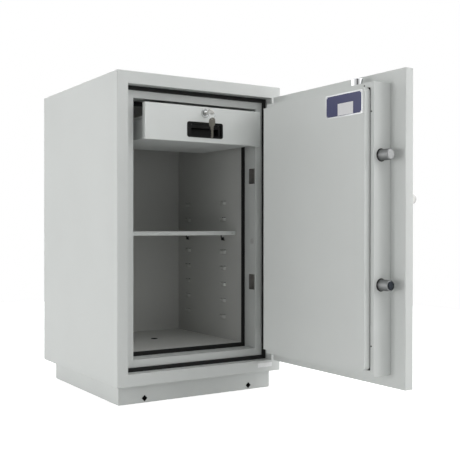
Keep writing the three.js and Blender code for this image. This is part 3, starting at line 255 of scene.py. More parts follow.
@dataclass(frozen=True)
class BareMetal(Finish):
    """Ground, drawn or plated metal, with its grain along one axis or even."""

    gloss: float
    per_metre: float = 260.0
    strength: float = 0.12
    metallic: float = 1.0
    grain: Point = (1.0, 1.0, 1.0)

    def surface(self, graph: Graph) -> Inputs:
        """Gives the metal grain in its relief and roughness and a faint tarnish."""
        lines = graph.noise(self.per_metre, detail=3.0, scale=self.grain)
        tarnish = graph.noise(per_metre=60.0, detail=4.0)
        return {
            "Metallic": self.metallic,
            "Base Color": graph.between(tarnish, shade(self.colour, 0.9), self.colour),
            "Roughness": graph.spread(lines, self.gloss * 0.8, self.gloss * 1.35),
            "Normal": graph.relief(lines, self.strength, depth_mm=0.04),
        }


@dataclass(frozen=True)
class Mineral(Finish):
    """Poured or pressed fireproof stuff: matt, speckled and slightly pitted."""

    per_metre: float

    def surface(self, graph: Graph) -> Inputs:
        """Gives the mineral grains, pale flecks and pits."""
        grains = graph.noise(self.per_metre, detail=5.0)
        flecks = graph.noise(self.per_metre * 4)
        coarse = graph.relief(grains, strength=0.5, depth_mm=0.5)
        return {
            "Base Color": graph.between(grains, shade(self.colour, 0.8), shade(self.colour, 1.1)),
            "Roughness": 0.93,
            "Normal": graph.relief(flecks, strength=0.4, depth_mm=0.2, under=coarse),
        }


@dataclass(frozen=True)
class Moulded(Finish):
    """Moulded plastic or rubber: dark, finely grained and a little dusty."""

    gloss: float
    per_metre: float = 1100.0
    strength: float = 0.25
    sheen_level: float = 0.14

    def surface(self, graph: Graph) -> Inputs:
        """Gives the moulding its grain and a faint bloom on top."""
        grain = graph.noise(self.per_metre)
        bloom = graph.noise(per_metre=35.0, detail=4.0)
        dusty = tuple(channel + 0.003 for channel in self.colour)
        return {
            "Base Color": graph.between(bloom, self.colour, dusty),
            "Roughness": graph.spread(grain, self.gloss * 0.85, self.gloss * 1.15),
            "Normal": graph.relief(grain, self.strength, depth_mm=0.05),
            "Specular IOR Level": self.sheen_level,
        }


@dataclass(frozen=True)
class Printed(Finish):
    """A thin printed face: flat ink under a clear gloss, on a slightly wavy carrier."""

    gloss: float

    def surface(self, graph: Graph) -> Inputs:
        """Gives the print a faint mottle in the ink and waves in the carrier."""
        mottle = graph.noise(per_metre=700.0, detail=3.0)
        waves = graph.noise(per_metre=45.0, detail=1.0)
        return {
            "Base Color": graph.between(mottle, shade(self.colour, 0.98),
                                        shade(self.colour, 1.02)),
            "Roughness": graph.spread(mottle, self.gloss - 0.02, self.gloss + 0.04),
            "Coat Weight": 0.1,
            "Coat Roughness": 0.12,
            "Normal": graph.relief(waves, strength=0.1, depth_mm=0.3),
        }


GREY = (0.600, 0.620, 0.606)
BLACK = (0.004, 0.004, 0.004)

PAINT = PowderCoat("light_grey_paint", GREY)
# A darker, warmer copy of the light grey paint for the liner and its lugs: painted shade for the
# dim inside, as the liner is the same paint as the outside.
SHADED_LINER_PAINT = PowderCoat("liner_paint_painted_shade", (0.535, 0.540, 0.522), gloss=0.5)
# Black paint for the shelf clips, and also for the thin strips that paint the shade of the slots
# above the lugs.
BLACK_CLIP_PAINT_AND_SLOT_SHADE = PowderCoat("black_clip_paint_and_slot_shade", (0.008, 0.008, 0.008), gloss=0.55)
# The light grey paint made 15 percent lighter for the drawer front: painted light, as the front
# is the same paint as the body.
LIT_DRAWER_PAINT = PowderCoat("drawer_front_paint_painted_light", shade(GREY, 1.15))
# The poured filling gets a dark grey, darkened to paint the shade at the back of the bolt
# pockets, where it shows.
SHADED_FILLING = Mineral("poured_filling_painted_shade", (0.26, 0.255, 0.24), per_metre=90.0)
BOARD = Mineral("pressed_board", (0.60, 0.56, 0.46), per_metre=240.0)
# The black rubber of the fire seals, also used for the strip that paints the shadow line round
# the inner cover.
SEAL_AND_SHADOW_LINE = Moulded("fire_seal_and_shadow_line_rubber", (0.015, 0.0155, 0.015), gloss=0.62, per_metre=420.0,
               strength=0.5)
# Matt black without sheen, for the squares and the disc that paint the shade inside the plinth's
# holes and the anchor hole.
HOLE_SHADE_BLACK = Moulded("hole_shade_black", BLACK, gloss=0.8, sheen_level=0.0)
PLASTIC = Moulded("moulded_black", BLACK, gloss=0.36)
ZINC = BareMetal("zinc_plate", (0.60, 0.61, 0.60), gloss=0.42, per_metre=180.0, strength=0.2,
                 metallic=0.7)
STEEL = BareMetal("ground_steel", (0.52, 0.52, 0.51), gloss=0.34, grain=(1, 1, 10))
BOLT = BareMetal("turned_bolt_steel", (0.20, 0.205, 0.205), gloss=0.42, grain=(1, 12, 1))
# A lighter copy of the bolt steel that paints the light on the upper side bolt's end face.
LIT_BOLT_END = BareMetal("bolt_end_painted_light", (0.30, 0.305, 0.305), gloss=0.5)
GRIP = BareMetal("satin_grip_steel", (0.40, 0.40, 0.39), gloss=0.36, grain=(8, 1, 1))
CHROME = BareMetal("chrome_plate", (0.64, 0.65, 0.66), gloss=0.12, per_metre=90.0, strength=0.02)
# A darker copy of the chrome for the drawer lock, which paints the dimmer reflection on its face.
SHADED_LOCK_CHROME = BareMetal("lock_chrome_painted_shade", (0.40, 0.41, 0.41), gloss=0.18, per_metre=90.0,
                       strength=0.02)
BRIGHT_KEY = BareMetal("bright_key_plate", (0.72, 0.71, 0.68), gloss=0.4, per_metre=500.0,
                       strength=0.03, metallic=0.35)
NICKEL = BareMetal("nickel_key_plate", (0.20, 0.19, 0.165), gloss=0.4, per_metre=500.0,
                   strength=0.03, metallic=0.85)
# A near black copy of the bolt steel that paints the shade on the lower side bolt's end face;
# both side bolts are the same part.
SHADED_BOLT_END = BareMetal("bolt_end_painted_shade", (0.010, 0.012, 0.015), gloss=0.25, per_metre=200.0,
                  strength=0.1)
BLACK_OXIDE = BareMetal("black_oxide_screw", (0.06, 0.06, 0.06), gloss=0.38, per_metre=300.0,
                        strength=0.1)
PLATE_METAL = BareMetal("silver_plate", (0.72, 0.73, 0.74), gloss=0.5, per_metre=300.0,
                        strength=0.1, metallic=0.6, grain=(8, 1, 1))
PLATE_BLUE = Printed("blue_plate_ink", (0.030, 0.033, 0.105), gloss=0.45)
PLATE_WHITE = Printed("blank_white_field", (0.70, 0.70, 0.71), gloss=0.5)
VINYL = Printed("blank_vinyl_label", (0.84, 0.85, 0.85), gloss=0.4)


def outward(shape: Shape) -> Shape:
    """Turns all of a shape's faces outward."""
    bmesh.ops.recalc_face_normals(shape, faces=shape.faces)
    return shape


def joined(shape: Shape) -> Shape:
    """Joins the corners that lie in the same place and turns the faces outward."""
    bmesh.ops.remove_doubles(shape, verts=shape.verts, dist=SAME_PLACE)
    return outward(shape)


def as_mesh(shape: Shape, name: str) -> bpy.types.Mesh:
    """Turns a shape, which is used up, into a mesh."""
    mesh = bpy.data.meshes.new(name)
    shape.to_mesh(mesh)
    shape.free()
    return mesh


def in_scene(name: str, data: bpy.types.ID) -> bpy.types.Object:
    """Puts a mesh, a lamp or a camera into the scene."""
    thing = bpy.data.objects.new(name, data)
    bpy.context.scene.collection.objects.link(thing)
    return thing


def eased(shape: Shape, geom: Sequence[bmesh.types.BMVert | bmesh.types.BMEdge], offset: float,
          segments: int, affect: str = "EDGES") -> None:
    """Rounds corners or edges of a shape.

    Args:
        shape: the shape, which is changed.
        geom: the corners or edges.
        offset: how far the rounding reaches.
        segments: how many faces make it up.
        affect: VERTICES for corners and EDGES for edges.
    """
    bmesh.ops.bevel(shape, geom=geom, offset=offset, offset_type="OFFSET", segments=segments,
                    profile=0.5, affect=affect, material=-1)


def raised(shape: Shape, faces: Sequence[bmesh.types.BMFace], height: float) -> Shape:
    """Extrudes faces of a shape upward, or downward if the height is negative."""
    grown = bmesh.ops.extrude_face_region(shape, geom=faces)
    top = [item for item in grown["geom"] if isinstance(item, bmesh.types.BMVert)]
    bmesh.ops.translate(shape, vec=(0, 0, height), verts=top)
    return shape


def scored(shape: Shape, across: Sequence[float], along: Sequence[float]) -> None:
    """Divides a shape's faces at places along x and at places along y."""
    for side, offsets in ((Vector((1, 0, 0)), across), (Vector((0, 1, 0)), along)):
        for offset in offsets:
            bmesh.ops.bisect_plane(shape, geom=shape.verts[:] + shape.edges[:] + shape.faces[:],
                                   plane_co=side * offset, plane_no=side, dist=ON_PLANE)


def rounded_face(width: float, height: float, corner: float, segments: int) -> Shape:
    """Makes one flat face with rounded corners on z = 0, centred on the axis."""
    shape = bmesh.new()
    bmesh.ops.create_grid(shape, x_segments=1, y_segments=1, size=0.5)
    bmesh.ops.scale(shape, vec=(width, height, 1), verts=shape.verts)
    eased(shape, shape.verts[:], corner, segments, "VERTICES")
    return shape


def rounded_plate(width: float, height: float, thickness: float, corner: float,
                  ease: float = 0.0) -> Shape:
    """Makes a flat plate with rounded corners, lying on z = 0 and centred on the axis.

    Args:
        width: its size along x.
        height: its size along y.
        thickness: its size along z.
        corner: the radius of its corners.
        ease: how much its top edge is eased.

    Returns:
        The shape.
    """
    shape = rounded_face(width, height, corner, segments=6)
    raised(shape, shape.faces[:], thickness)
    if ease > 0:
        rim = [edge for edge in shape.edges
               if all(vert.co.z > thickness / 2 for vert in edge.verts)]
        eased(shape, rim, ease, segments=2)
    return outward(shape)


def turned(profile: Sequence[Pair], steps: int = 48) -> Shape:
    """Turns a piece about +Z on a lathe.

    Args:
        profile: its (radius, height) points, from the axis below to the axis above.
        steps: how many faces go round.

    Returns:
        The shape.
    """
    shape = bmesh.new()
    verts = [shape.verts.new((radius, 0, height)) for radius, height in profile]
    edges = [shape.edges.new(pair) for pair in zip(verts, verts[1:])]
    bmesh.ops.spin(shape, geom=verts + edges, cent=(0, 0, 0), axis=(0, 0, 1), dvec=(0, 0, 0),
                   angle=math.tau, steps=steps, use_merge=True, use_duplicate=False)
    return joined(shape)


def rounded_corner(radius: float, top: float, ease: float) -> list[Pair]:
    """Gives a lathe profile's rounded upper corner, from the side round to the top."""
    arc = [math.radians(22.5 * step) for step in range(5)]
    return [(radius - ease + ease * math.cos(angle), top - ease + ease * math.sin(angle))
            for angle in arc]


def sink(shape: Shape, low: Pair, high: Pair, depth: float, both_sides: bool = False) -> Shape:
    """Sinks a rectangle into the faces that look up, and down too if asked.

    Args:
        shape: the shape, which is changed.
        low: the rectangle's lowest x and y.
        high: the rectangle's highest x and y.
        depth: how deep it goes.
        both_sides: whether the lower side gets the same recess.

    Returns:
        The same shape.
    """
    scored(shape, (low[0], high[0]), (low[1], high[1]))
    for way in (1, -1) if both_sides else (1,):
        floor = [face for face in shape.faces if face.normal.z * way > LOOKS_UP
                 and low[0] < face.calc_center_median().x < high[0]
                 and low[1] < face.calc_center_median().y < high[1]]
        raised(shape, floor, -depth * way)
        bmesh.ops.delete(shape, geom=floor, context="FACES")
    return joined(shape)


def bent_strip(path: Sequence[Pair], thickness: float, width: float) -> Shape:
    """Bends a strip of sheet along a path in x and z.

    Args:
        path: the (x, z) points that one side of the sheet follows.
        thickness: the sheet's thickness.
        width: the strip's width, along y and centred on y = 0.

    Returns:
        The shape.
    """
    shape = bmesh.new()
    verts = [shape.verts.new((x, -width / 2, z)) for x, z in path]
    edges = [shape.edges.new(pair) for pair in zip(verts, verts[1:])]
    grown = bmesh.ops.extrude_edge_only(shape, edges=edges)
    far = [item for item in grown["geom"] if isinstance(item, bmesh.types.BMVert)]
    bmesh.ops.translate(shape, vec=(0, width, 0), verts=far)
    outward(shape)
    bmesh.ops.solidify(shape, geom=shape.faces[:], thickness=thickness)
    return outward(shape)


def cross_screw(radius: float, height: float) -> Shape:
    """Makes a domed screw head with a cross recess, standing on z = 0.

    Args:
        radius: the head's radius.
        height: the head's height.

    Returns:
        The shape.
    """
    shape = turned([(0, 0), (radius, 0), (radius, height * 0.35), (radius * 0.86, height * 0.75),
                    (radius * 0.55, height), (0, height)], 24)
    arm, reach, depth = radius * 0.13, radius * 0.5, height * 0.6
    lines = (-reach, -arm, arm, reach)
    scored(shape, (), lines)
    scored(shape, lines, ())
    top = [face for face in shape.faces
           if face.normal.z > LOOKS_UP and in_cross(face.calc_center_median(), arm, reach)]
    raised(shape, top, -depth)
    bmesh.ops.delete(shape, geom=top, context="FACES")
    return joined(shape)


def in_cross(centre: Vector, arm: float, reach: float) -> bool:
    """Tells whether a point lies inside a cross of that half width and reach."""
    across, along = sorted((abs(centre.x), abs(centre.y)))
    return across < arm and along < reach


def moved(shape: Shape, place: Point, facing: Facing = Facing.UP) -> Shape:
    """Turns a shape to face a side and takes it to a place."""
    bmesh.ops.transform(shape, matrix=Matrix.Translation(place) @ facing.value, verts=shape.verts)
    return shape


def for_side(shape: Shape, side: str) -> Shape:
    """Mirrors a shape made for the left side if it goes on the right one."""
    if side == "right":
        bmesh.ops.scale(shape, vec=(-1, 1, 1), verts=shape.verts)
        outward(shape)
    return shape


def tilted(shape: Shape, degrees: float, axis: str) -> Shape:
    """Turns a shape about one of the axes through the origin."""
    turn = Matrix.Rotation(math.radians(degrees), 3, axis)
    bmesh.ops.rotate(shape, cent=(0, 0, 0), matrix=turn, verts=shape.verts)
    return shape


def together(shapes: Iterable[Shape]) -> Shape:
    """Puts several shapes into one, side by side."""
    whole = bmesh.new()
    for shape in shapes:
        part = as_mesh(shape, "part")
        whole.from_mesh(part)
        bpy.data.meshes.remove(part)
    return whole


@dataclass(frozen=True)
class Panel:
    """An upright rectangle on one of the safe's faces."""

    x: Pair
    z: Pair

    @property
    def size(self) -> Pair:
        """Its width and its height."""
        return self.x[1] - self.x[0], self.z[1] - self.z[0]

    def middle(self, y: float) -> Point:
        """Gives its middle at a place along y."""
        return sum(self.x) / 2, y, sum(self.z) / 2


class Assembly:
    """What the sub-assemblies share: how a piece is finished and a node is dressed."""

    body = "cabinet"
    place = BODY_PLACE

    def add(self, name: str, shape: Shape, finish: Finish, slot: str, body: str | None = None,
            replaces: Sequence[str] = ()) -> None:
        """Makes a piece out of a shape in millimetres and lets it ride on a body.

        Args:
            name: the piece's name.
            shape: its shape, which is used up.
            finish: its finish.
            slot: the record's material slot that it follows; it is not used.
            body: the body it rides on, if it isn't the sub-assembly's own.
            replaces: the CAD nodes that it stands for.
        """
        mesh = as_mesh(shape, name)
        mesh.transform(self.place)
        mesh.shade_smooth()
        mesh.set_sharp_from_angle(angle=SHARP_ABOVE)
        mesh.materials.append(finish.material())
        piece = in_scene(name, mesh)
        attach(piece, body or self.body)
        if replaces:
            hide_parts(*replaces)
        LOG.info("%s: %d faces on %s", name, len(mesh.polygons), body or self.body)

    def dress(self, finish: Finish, edge_mm: float, *nodes: str) -> None:
        """Gives CAD nodes their finish, and eases their edges.

        Args:
            finish: the finish.
            edge_mm: the radius of the eased edges, or 0 to leave them.
            nodes: the nodes' names.
        """
        for node in nodes:
            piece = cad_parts[node]
            piece.data.materials.clear()
            piece.data.materials.append(finish.material())
            if edge_mm > 0:
                weld = piece.modifiers.new("closed_seams", "WELD")
                weld.merge_threshold = SAME_PLACE
                flat = piece.modifiers.new("whole_faces", "DECIMATE")
                flat.decimate_type = "DISSOLVE"
                flat.angle_limit = FLAT_WITHIN
                bevel = piece.modifiers.new("eased_edges", "BEVEL")
                bevel.width = edge_mm * MILLIMETRE
                bevel.segments = 3
                bevel.limit_method = "ANGLE"
                bevel.angle_limit = EASED_ABOVE
            LOG.info("%s: dressed in %s", node, finish.name)


@dataclass
class Cabinet(Assembly):
    """The body: casing, frame, liner, seals, shelf, plinth and the fixed hinge halves."""

    label: Panel = Panel((458.2, 508.7), (14.3, 26.1))
    label_thickness: float = 0.12
    hinge_z: Pair = (150.0, 678.0)
    hinge_height: float = 96.0
    pin_radius: float = 4.0
    pin_chamfer: float = 0.6
    pin_gap: float = 0.3
    pin_head_radius: float = 5.5
    pin_head_height: float = 2.0
    liner_x: Pair = (78.5, 461.5)
    lug_y: Pair = (176.8, 374.3)
    lug_z0: float = 142.9
    lug_pitch: float = 50.0
    lug_count: int = 8
    lug_proud: float = 5.2
    lug_base: float = 34.0
    lug_crown: float = 18.0
    lug_height: float = 11.0
    lug_ease: float = 2.1
    slot_length: float = 30.0
    slot_height: float = 2.0
    clip_lug: int = 5
    clip_thickness: float = 1.6
    clip_width: float = 12.0
    clip_ledge_top: float = 405.4
    clip_tail: float = 378.5
    clip_tail_height: float = 9.5
    clip_stand: float = 5.0
    clip_ledge: float = 15.0
    clip_lip: float = 6.0
    clip_neck: float = 3.0
    clip_ahead: float = 3.5
    hole_shade_x: Pair = (97.8, 444.6)
    hole_shade_y: float = 28.5
    hole_shade_z: float = -40.0
    hole_shade_side: float = 12.2
    anchor: Point = (270.0, 269.0, 76.5)
    anchor_radius: float = 8.8
    anchor_shade_flange: float = 10.4
    button: Point = (474.0, 48.0, 378.0)
    button_radius: float = 7.6

    def build(self) -> None:
        """Dresses the nodes and adds the label, the black shades in the holes, the lugs with
        their painted slot shades, the clips and the hinge pins.
        """
        self.dress(PAINT, 0.8, "outer_casing", "plinth")
        self.dress(PAINT, 0.5, "back_panel")
        self.dress(PAINT, 0.4, "shelf")
        self.dress(PAINT, 0.6, "front_frame")
        self.dress(SHADED_LINER_PAINT, 0.3, "liner_left", "liner_right", "liner_top", "liner_floor",
                   "liner_back")
        self.dress(SHADED_FILLING, 0.0, "body_insulation")
        self.dress(SEAL_AND_SHADOW_LINE, 0.8, "seal_outer", "seal_inner")
        self.dress(ZINC, 0.3, "drawer_catch", "runner_fixed_left", "runner_fixed_right")
        self.dress(STEEL, 0.5, "hinge_leaf_body_lower", "hinge_leaf_body_upper")
        self.add_label()
        self.add_hole_shades()
        self.add_lugs()
        self.add_clips()
        self.add_hinge_pins()

    def add_label(self) -> None:
        """Sticks the small blank label on the lower rail, near the hinge side."""
        label = rounded_plate(*self.label.size, self.label_thickness, corner=1.2)
        self.add("blank_label", moved(label, self.label.middle(0.0), Facing.FRONT), VINYL,
                 "paint")

    def add_hole_shades(self) -> None:
        """Puts matt black squares in the plinth's square holes and a matt black disc in the
        anchor hole, which paint the shade inside them, and sets the wall's button.
        """
        hole_shades = []
        for x in self.hole_shade_x:
            # Each black square paints the shade inside one of the plinth's square holes.
            cap = rounded_plate(self.hole_shade_side, self.hole_shade_side, thickness=1.0, corner=0.8, ease=0.3)
            hole_shades.append(moved(tilted(cap, 45, "Z"), (x, self.hole_shade_y, self.hole_shade_z), Facing.FRONT))
        self.add("plinth_hole_shades", together(hole_shades), HOLE_SHADE_BLACK, "black_plastic")
        radius, flange = self.anchor_radius, self.anchor_shade_flange
        shade_disc = turned([(0, -3), (radius, -3), (radius, 0.1), (flange, 0.1), (flange - 0.3, 0.8),
                       (0, 1.0)], 40)
        self.add("anchor_shade_disc", moved(shade_disc, self.anchor), HOLE_SHADE_BLACK, "black_plastic")
        radius = self.button_radius
        button = turned([(0, 0.05), (radius, 0.05), (radius - 0.3, 0.5), (0, 0.6)], 40)
        self.add("wall_button", moved(button, self.button, Facing.LEFT), ZINC, "zinc_steel")

    def lug(self) -> Shape:
        """Makes a pressed lug that stands out along +x from the plane x = 0."""
        shape = bmesh.new()
        bmesh.ops.create_cube(shape, size=1.0)
        bmesh.ops.translate(shape, vec=(0.5, 0, 0), verts=shape.verts)
        bmesh.ops.scale(shape, vec=(self.lug_proud, self.lug_base, self.lug_height),
                        verts=shape.verts)
        outer = [vert for vert in shape.verts if vert.co.x > self.lug_proud / 2]
        bmesh.ops.scale(shape, vec=(1, self.lug_crown / self.lug_base, 1), verts=outer)
        edges = [edge for edge in shape.edges if any(vert in outer for vert in edge.verts)]
        eased(shape, edges, self.lug_ease, segments=3)
        return outward(shape)

    def add_lugs(self) -> None:
        """Presses the rows of lugs, each with a thin black strip above it that paints the shade
        of the slot it was lanced out along.
        """
        heights = [self.lug_z0 + index * self.lug_pitch for index in range(self.lug_count)
                   if index != self.clip_lug]
        above = self.lug_height / 2 + self.slot_height / 2
        for side, wall in zip(SIDES, self.liner_x):
            lugs, slot_shades = [], []
            for y, z in ((y, z) for y in self.lug_y for z in heights):
                lugs.append(moved(for_side(self.lug(), side), (wall, y, z)))
                # A thin black strip above each lug paints the shade of the slot it was lanced out
                # along.
                slot = rounded_plate(self.slot_length, self.slot_height, thickness=0.15,
                                     corner=0.7)
                slot = for_side(tilted(tilted(slot, 90, "X"), -90, "Z"), side)
                slot_shades.append(moved(slot, (wall, y, z + above)))
            self.add(f"lugs_{side}", together(lugs), SHADED_LINER_PAINT, "paint")
            self.add(f"lug_slot_shades_{side}", together(slot_shades), BLACK_CLIP_PAINT_AND_SLOT_SHADE, "black_steel")

    def add_clips(self) -> None:
        """Bends the four black clips that carry the shelf."""
        stand, thick, top = self.clip_stand, self.clip_thickness, self.clip_ledge_top
        width, tail_end = self.clip_width, self.clip_tail
        shoulder = tail_end + self.clip_tail_height
        for side, wall in zip(SIDES, self.liner_x):
            for row, y in zip(("front", "rear"), self.lug_y):
                seat = bent_strip([(stand + self.clip_ledge, top), (stand, top),
                                   (stand, top - self.clip_lip)], thick, width)
                neck = bent_strip([(stand, top - 4), (stand, shoulder - 1)], thick,
                                  self.clip_neck)
                moved(neck, (0, (width - self.clip_neck) / 2, 0))
                tail = bent_strip([(stand, shoulder), (stand, tail_end + 1), (0.4, tail_end)],
                                  thick, width)
                clip = for_side(together([seat, neck, tail]), side)
                self.add(f"clip_{row}_{side}", moved(clip, (wall, y - self.clip_ahead, 0)),
                         BLACK_CLIP_PAINT_AND_SLOT_SHADE, "black_steel", replaces=[f"shelf_clip_{row}_{side}"])

    def add_hinge_pins(self) -> None:
        """Turns the two hinge pins with their domed heads."""
        half, radius, chamfer = self.hinge_height / 2, self.pin_radius, self.pin_chamfer
        head, cap, seat = self.pin_head_radius, self.pin_head_height, half + self.pin_gap
        profile = [(0, -half), (radius - chamfer, -half), (radius, -half + chamfer),
                   (radius, half), (head, seat), (head, seat + cap * 0.6),
                   (head * 0.75, seat + cap), (0, seat + cap)]
        for level, height in zip(LEVELS, self.hinge_z):
            pin = moved(turned(profile, 32), (HINGE_X, HINGE_Y, height))
            self.add(f"pin_{level}", pin, STEEL, "zinc_steel", replaces=[f"hinge_pin_{level}"])


@dataclass
class Door(Assembly):
    """The stepped door with its blank data plate, its screws and its front fittings."""

    cover: Panel = Panel((91.6, 459.0), (80.0, 748.0))
    cover_face_y: float = 99.6
    shadow_strip_bar: float = 7.0
    shadow_strip_height: float = 0.38
    shadow_strip_lift: float = 0.05
    shadow_strip_proud: float = 0.4
    shadow_strip_free_side: float = 1.1
    plate: Panel = Panel((97.8, 218.5), (686.8, 744.2))
    plate_thickness: float = 0.8
    plate_border: float = 3.2
    white_field: Panel = Panel((127.0, 177.3), (690.8, 719.8))
    rivet_inset: float = 5.2
    rivet_radius: float = 1.6
    box_face_y: float = 81.5
    step_screws: tuple[Pair, ...] = ((87.6, 691.4), (87.6, 137.6), (109.5, 754.6))
    screw_radius: float = 2.0
    screw_height: float = 0.42
    rose_radius: float = 23.0
    rose_thickness: float = 4.0
    rose_gap: float = 0.3
    spindle_radius: float = 7.0
    bush_bore: float = 13.65
    bush_radius: float = 15.0
    bush_flange: float = 15.7
    bush_depth: float = 18.0
    side_bush_x: float = 79.5
    side_bush_z: Pair = (282.0, 589.0)
    bush_y: float = 58.0
    top_bush: Point = (154.5, 58.0, 761.5)

    body = "door"
    place = DOOR_PLACE

    def build(self) -> None:
        """Dresses the nodes and adds the black strip that paints the shadow line round the inner
        cover, and the plate, screws, rosette and bushes.
        """
        self.dress(PAINT, 0.8, "door_skin", "inner_cover")
        self.dress(PAINT, 0.6, "bolt_box")
        self.dress(SHADED_FILLING, 0.0, "door_filling")
        self.dress(BOARD, 0.0, "box_board", "inner_board")
        self.dress(ZINC, 0.3, "mounting_plate", "lock_case")
        self.dress(STEEL, 0.5, "hinge_leaf_door_lower", "hinge_leaf_door_upper")
        self.dress(CHROME, 0.4, "escutcheon")
        self.add_shadow_strip()
        self.add_plate()
        self.add_screws()
        self.add_rosette()
        self.add_bushes()

    def add_shadow_strip(self) -> None:
        """Lays a thin black strip under the inner cover's edge, wider on the free side, which
        paints the shadow line where the cover meets the step.
        """
        proud = self.shadow_strip_proud
        edge = Panel((self.cover.x[0] - self.shadow_strip_free_side, self.cover.x[1] + proud),
                     (self.cover.z[0] - proud, self.cover.z[1] + proud))
        shadow_strip = rounded_face(*edge.size, corner=2.0, segments=4)
        middle = shadow_strip.faces[:]
        bmesh.ops.inset_region(shadow_strip, faces=middle, thickness=self.shadow_strip_bar,
                               use_even_offset=True, use_boundary=True)
        bmesh.ops.delete(shadow_strip, geom=middle, context="FACES")
        outward(raised(shadow_strip, shadow_strip.faces[:], self.shadow_strip_height))
        place = edge.middle(self.box_face_y + self.shadow_strip_lift)
        self.add("cover_shadow_strip", moved(shadow_strip, place, Facing.BACK), SEAL_AND_SHADOW_LINE, "seal")

    def add_plate(self) -> None:
        """Rivets the silver plate with its blank blue and white fields to the cover."""
        width, height = self.plate.size
        rim = 2 * self.plate_border
        top = self.cover_face_y + self.plate_thickness
        plate = rounded_plate(width, height, self.plate_thickness, corner=3.0, ease=0.25)
        place = self.plate.middle(self.cover_face_y)
        self.add("plate", moved(plate, place, Facing.BACK), PLATE_METAL, "zinc_steel")
        ink = rounded_plate(width - rim, height - rim, thickness=0.08, corner=1.6)
        place = self.plate.middle(top)
        self.add("blank_blue_field", moved(ink, place, Facing.BACK), PLATE_BLUE, "paint")
        white = rounded_plate(*self.white_field.size, thickness=0.14, corner=0.6)
        place = self.white_field.middle(top)
        self.add("blank_white_field", moved(white, place, Facing.BACK), PLATE_WHITE, "paint")
        (x0, x1), (z0, z1) = self.plate.x, self.plate.z
        inset, radius = self.rivet_inset, self.rivet_radius
        dome = [(0, 0), (radius, 0), (radius * 0.9, 0.45), (radius * 0.5, 0.8), (0, 0.9)]
        rivets = together(moved(turned(dome, 20), (x, top, z), Facing.BACK)
                          for x in (x0 + inset, x1 - inset) for z in (z0 + inset, z1 - inset))
        self.add("plate_rivets", rivets, ZINC, "zinc_steel")

    def add_screws(self) -> None:
        """Sets the small screws that hold the step."""
        heads = together(moved(cross_screw(self.screw_radius, self.screw_height),
                               (x, self.box_face_y, z), Facing.BACK)
                         for x, z in self.step_screws)
        self.add("step_screws", heads, BLACK_OXIDE, "black_steel")

    def add_rosette(self) -> None:
        """Turns the round plate under the grip."""
        outer, inner = self.rose_radius, self.spindle_radius + self.rose_gap
        thick = self.rose_thickness
        profile = [(inner, 0), (outer, 0), (outer, thick * 0.45), (outer * 0.94, thick * 0.8),
                   (outer * 0.82, thick), (inner + 3.5, thick), (inner + 3, thick * 0.9),
                   (inner, thick * 0.9), (inner, 0)]
        rose = moved(turned(profile, 64), (SPINDLE_X, -self.rose_gap, SPINDLE_Z), Facing.FRONT)
        self.add("rosette", rose, CHROME, "chrome", replaces=["handle_rosette"])

    def add_bushes(self) -> None:
        """Turns the flanged bushes through which the bolts leave the step."""
        bore, radius, flange = self.bush_bore, self.bush_radius, self.bush_flange
        low = -self.bush_depth
        profile = [(bore, low), (radius, low), (radius, 0.3), (flange, 0.3), (flange, 0.8),
                   (flange - 0.4, 1.2), (bore + 0.3, 1.2), (bore, 0.9), (bore, low)]
        for level, height in zip(LEVELS, self.side_bush_z):
            place = (self.side_bush_x, self.bush_y, height)
            self.add(f"bush_{level}", moved(turned(profile, 64), place, Facing.LEFT), PLASTIC,
                     "black_plastic", replaces=[f"bolt_bush_{level}"])
        self.add("bush_top", moved(turned(profile, 64), self.top_bush), PLASTIC, "black_plastic",
                 replaces=["bolt_bush_top"])


@dataclass
class Handle(Assembly):
    """The outside grip, its spindle and the cam disc."""

    grip_y: float = -31.0
    grip_radius: float = 11.8
    grip_length: float = 80.0
    grip_ease: float = 3.0
    neck_radius: float = 9.0
    neck_end_y: float = -4.6

    body = "handle"
    place = DOOR_PLACE

    def build(self) -> None:
        """Dresses the inner pieces and turns the grip and its neck."""
        self.dress(STEEL, 0.0, "handle_spindle")
        self.dress(ZINC, 0.3, "cam_disc")
        half, neck_radius = self.grip_length / 2, self.neck_radius
        upper = rounded_corner(self.grip_radius, half, self.grip_ease)
        lower = [(across, -along) for across, along in reversed(upper)]
        grip = tilted(turned([(0, -half), *lower, *upper, (0, half)]), 90, "Y")
        moved(grip, (SPINDLE_X, self.grip_y, SPINDLE_Z))
        depth = self.neck_end_y - self.grip_y
        neck = turned([(0, 0), (neck_radius + 0.8, 0), (neck_radius, 1.2), (neck_radius, depth),
                       (0, depth)], 40)
        moved(neck, (SPINDLE_X, self.neck_end_y, SPINDLE_Z), Facing.FRONT)
        self.add("grip", together([grip, neck]), GRIP, "satin_steel", replaces=["handle_grip"])


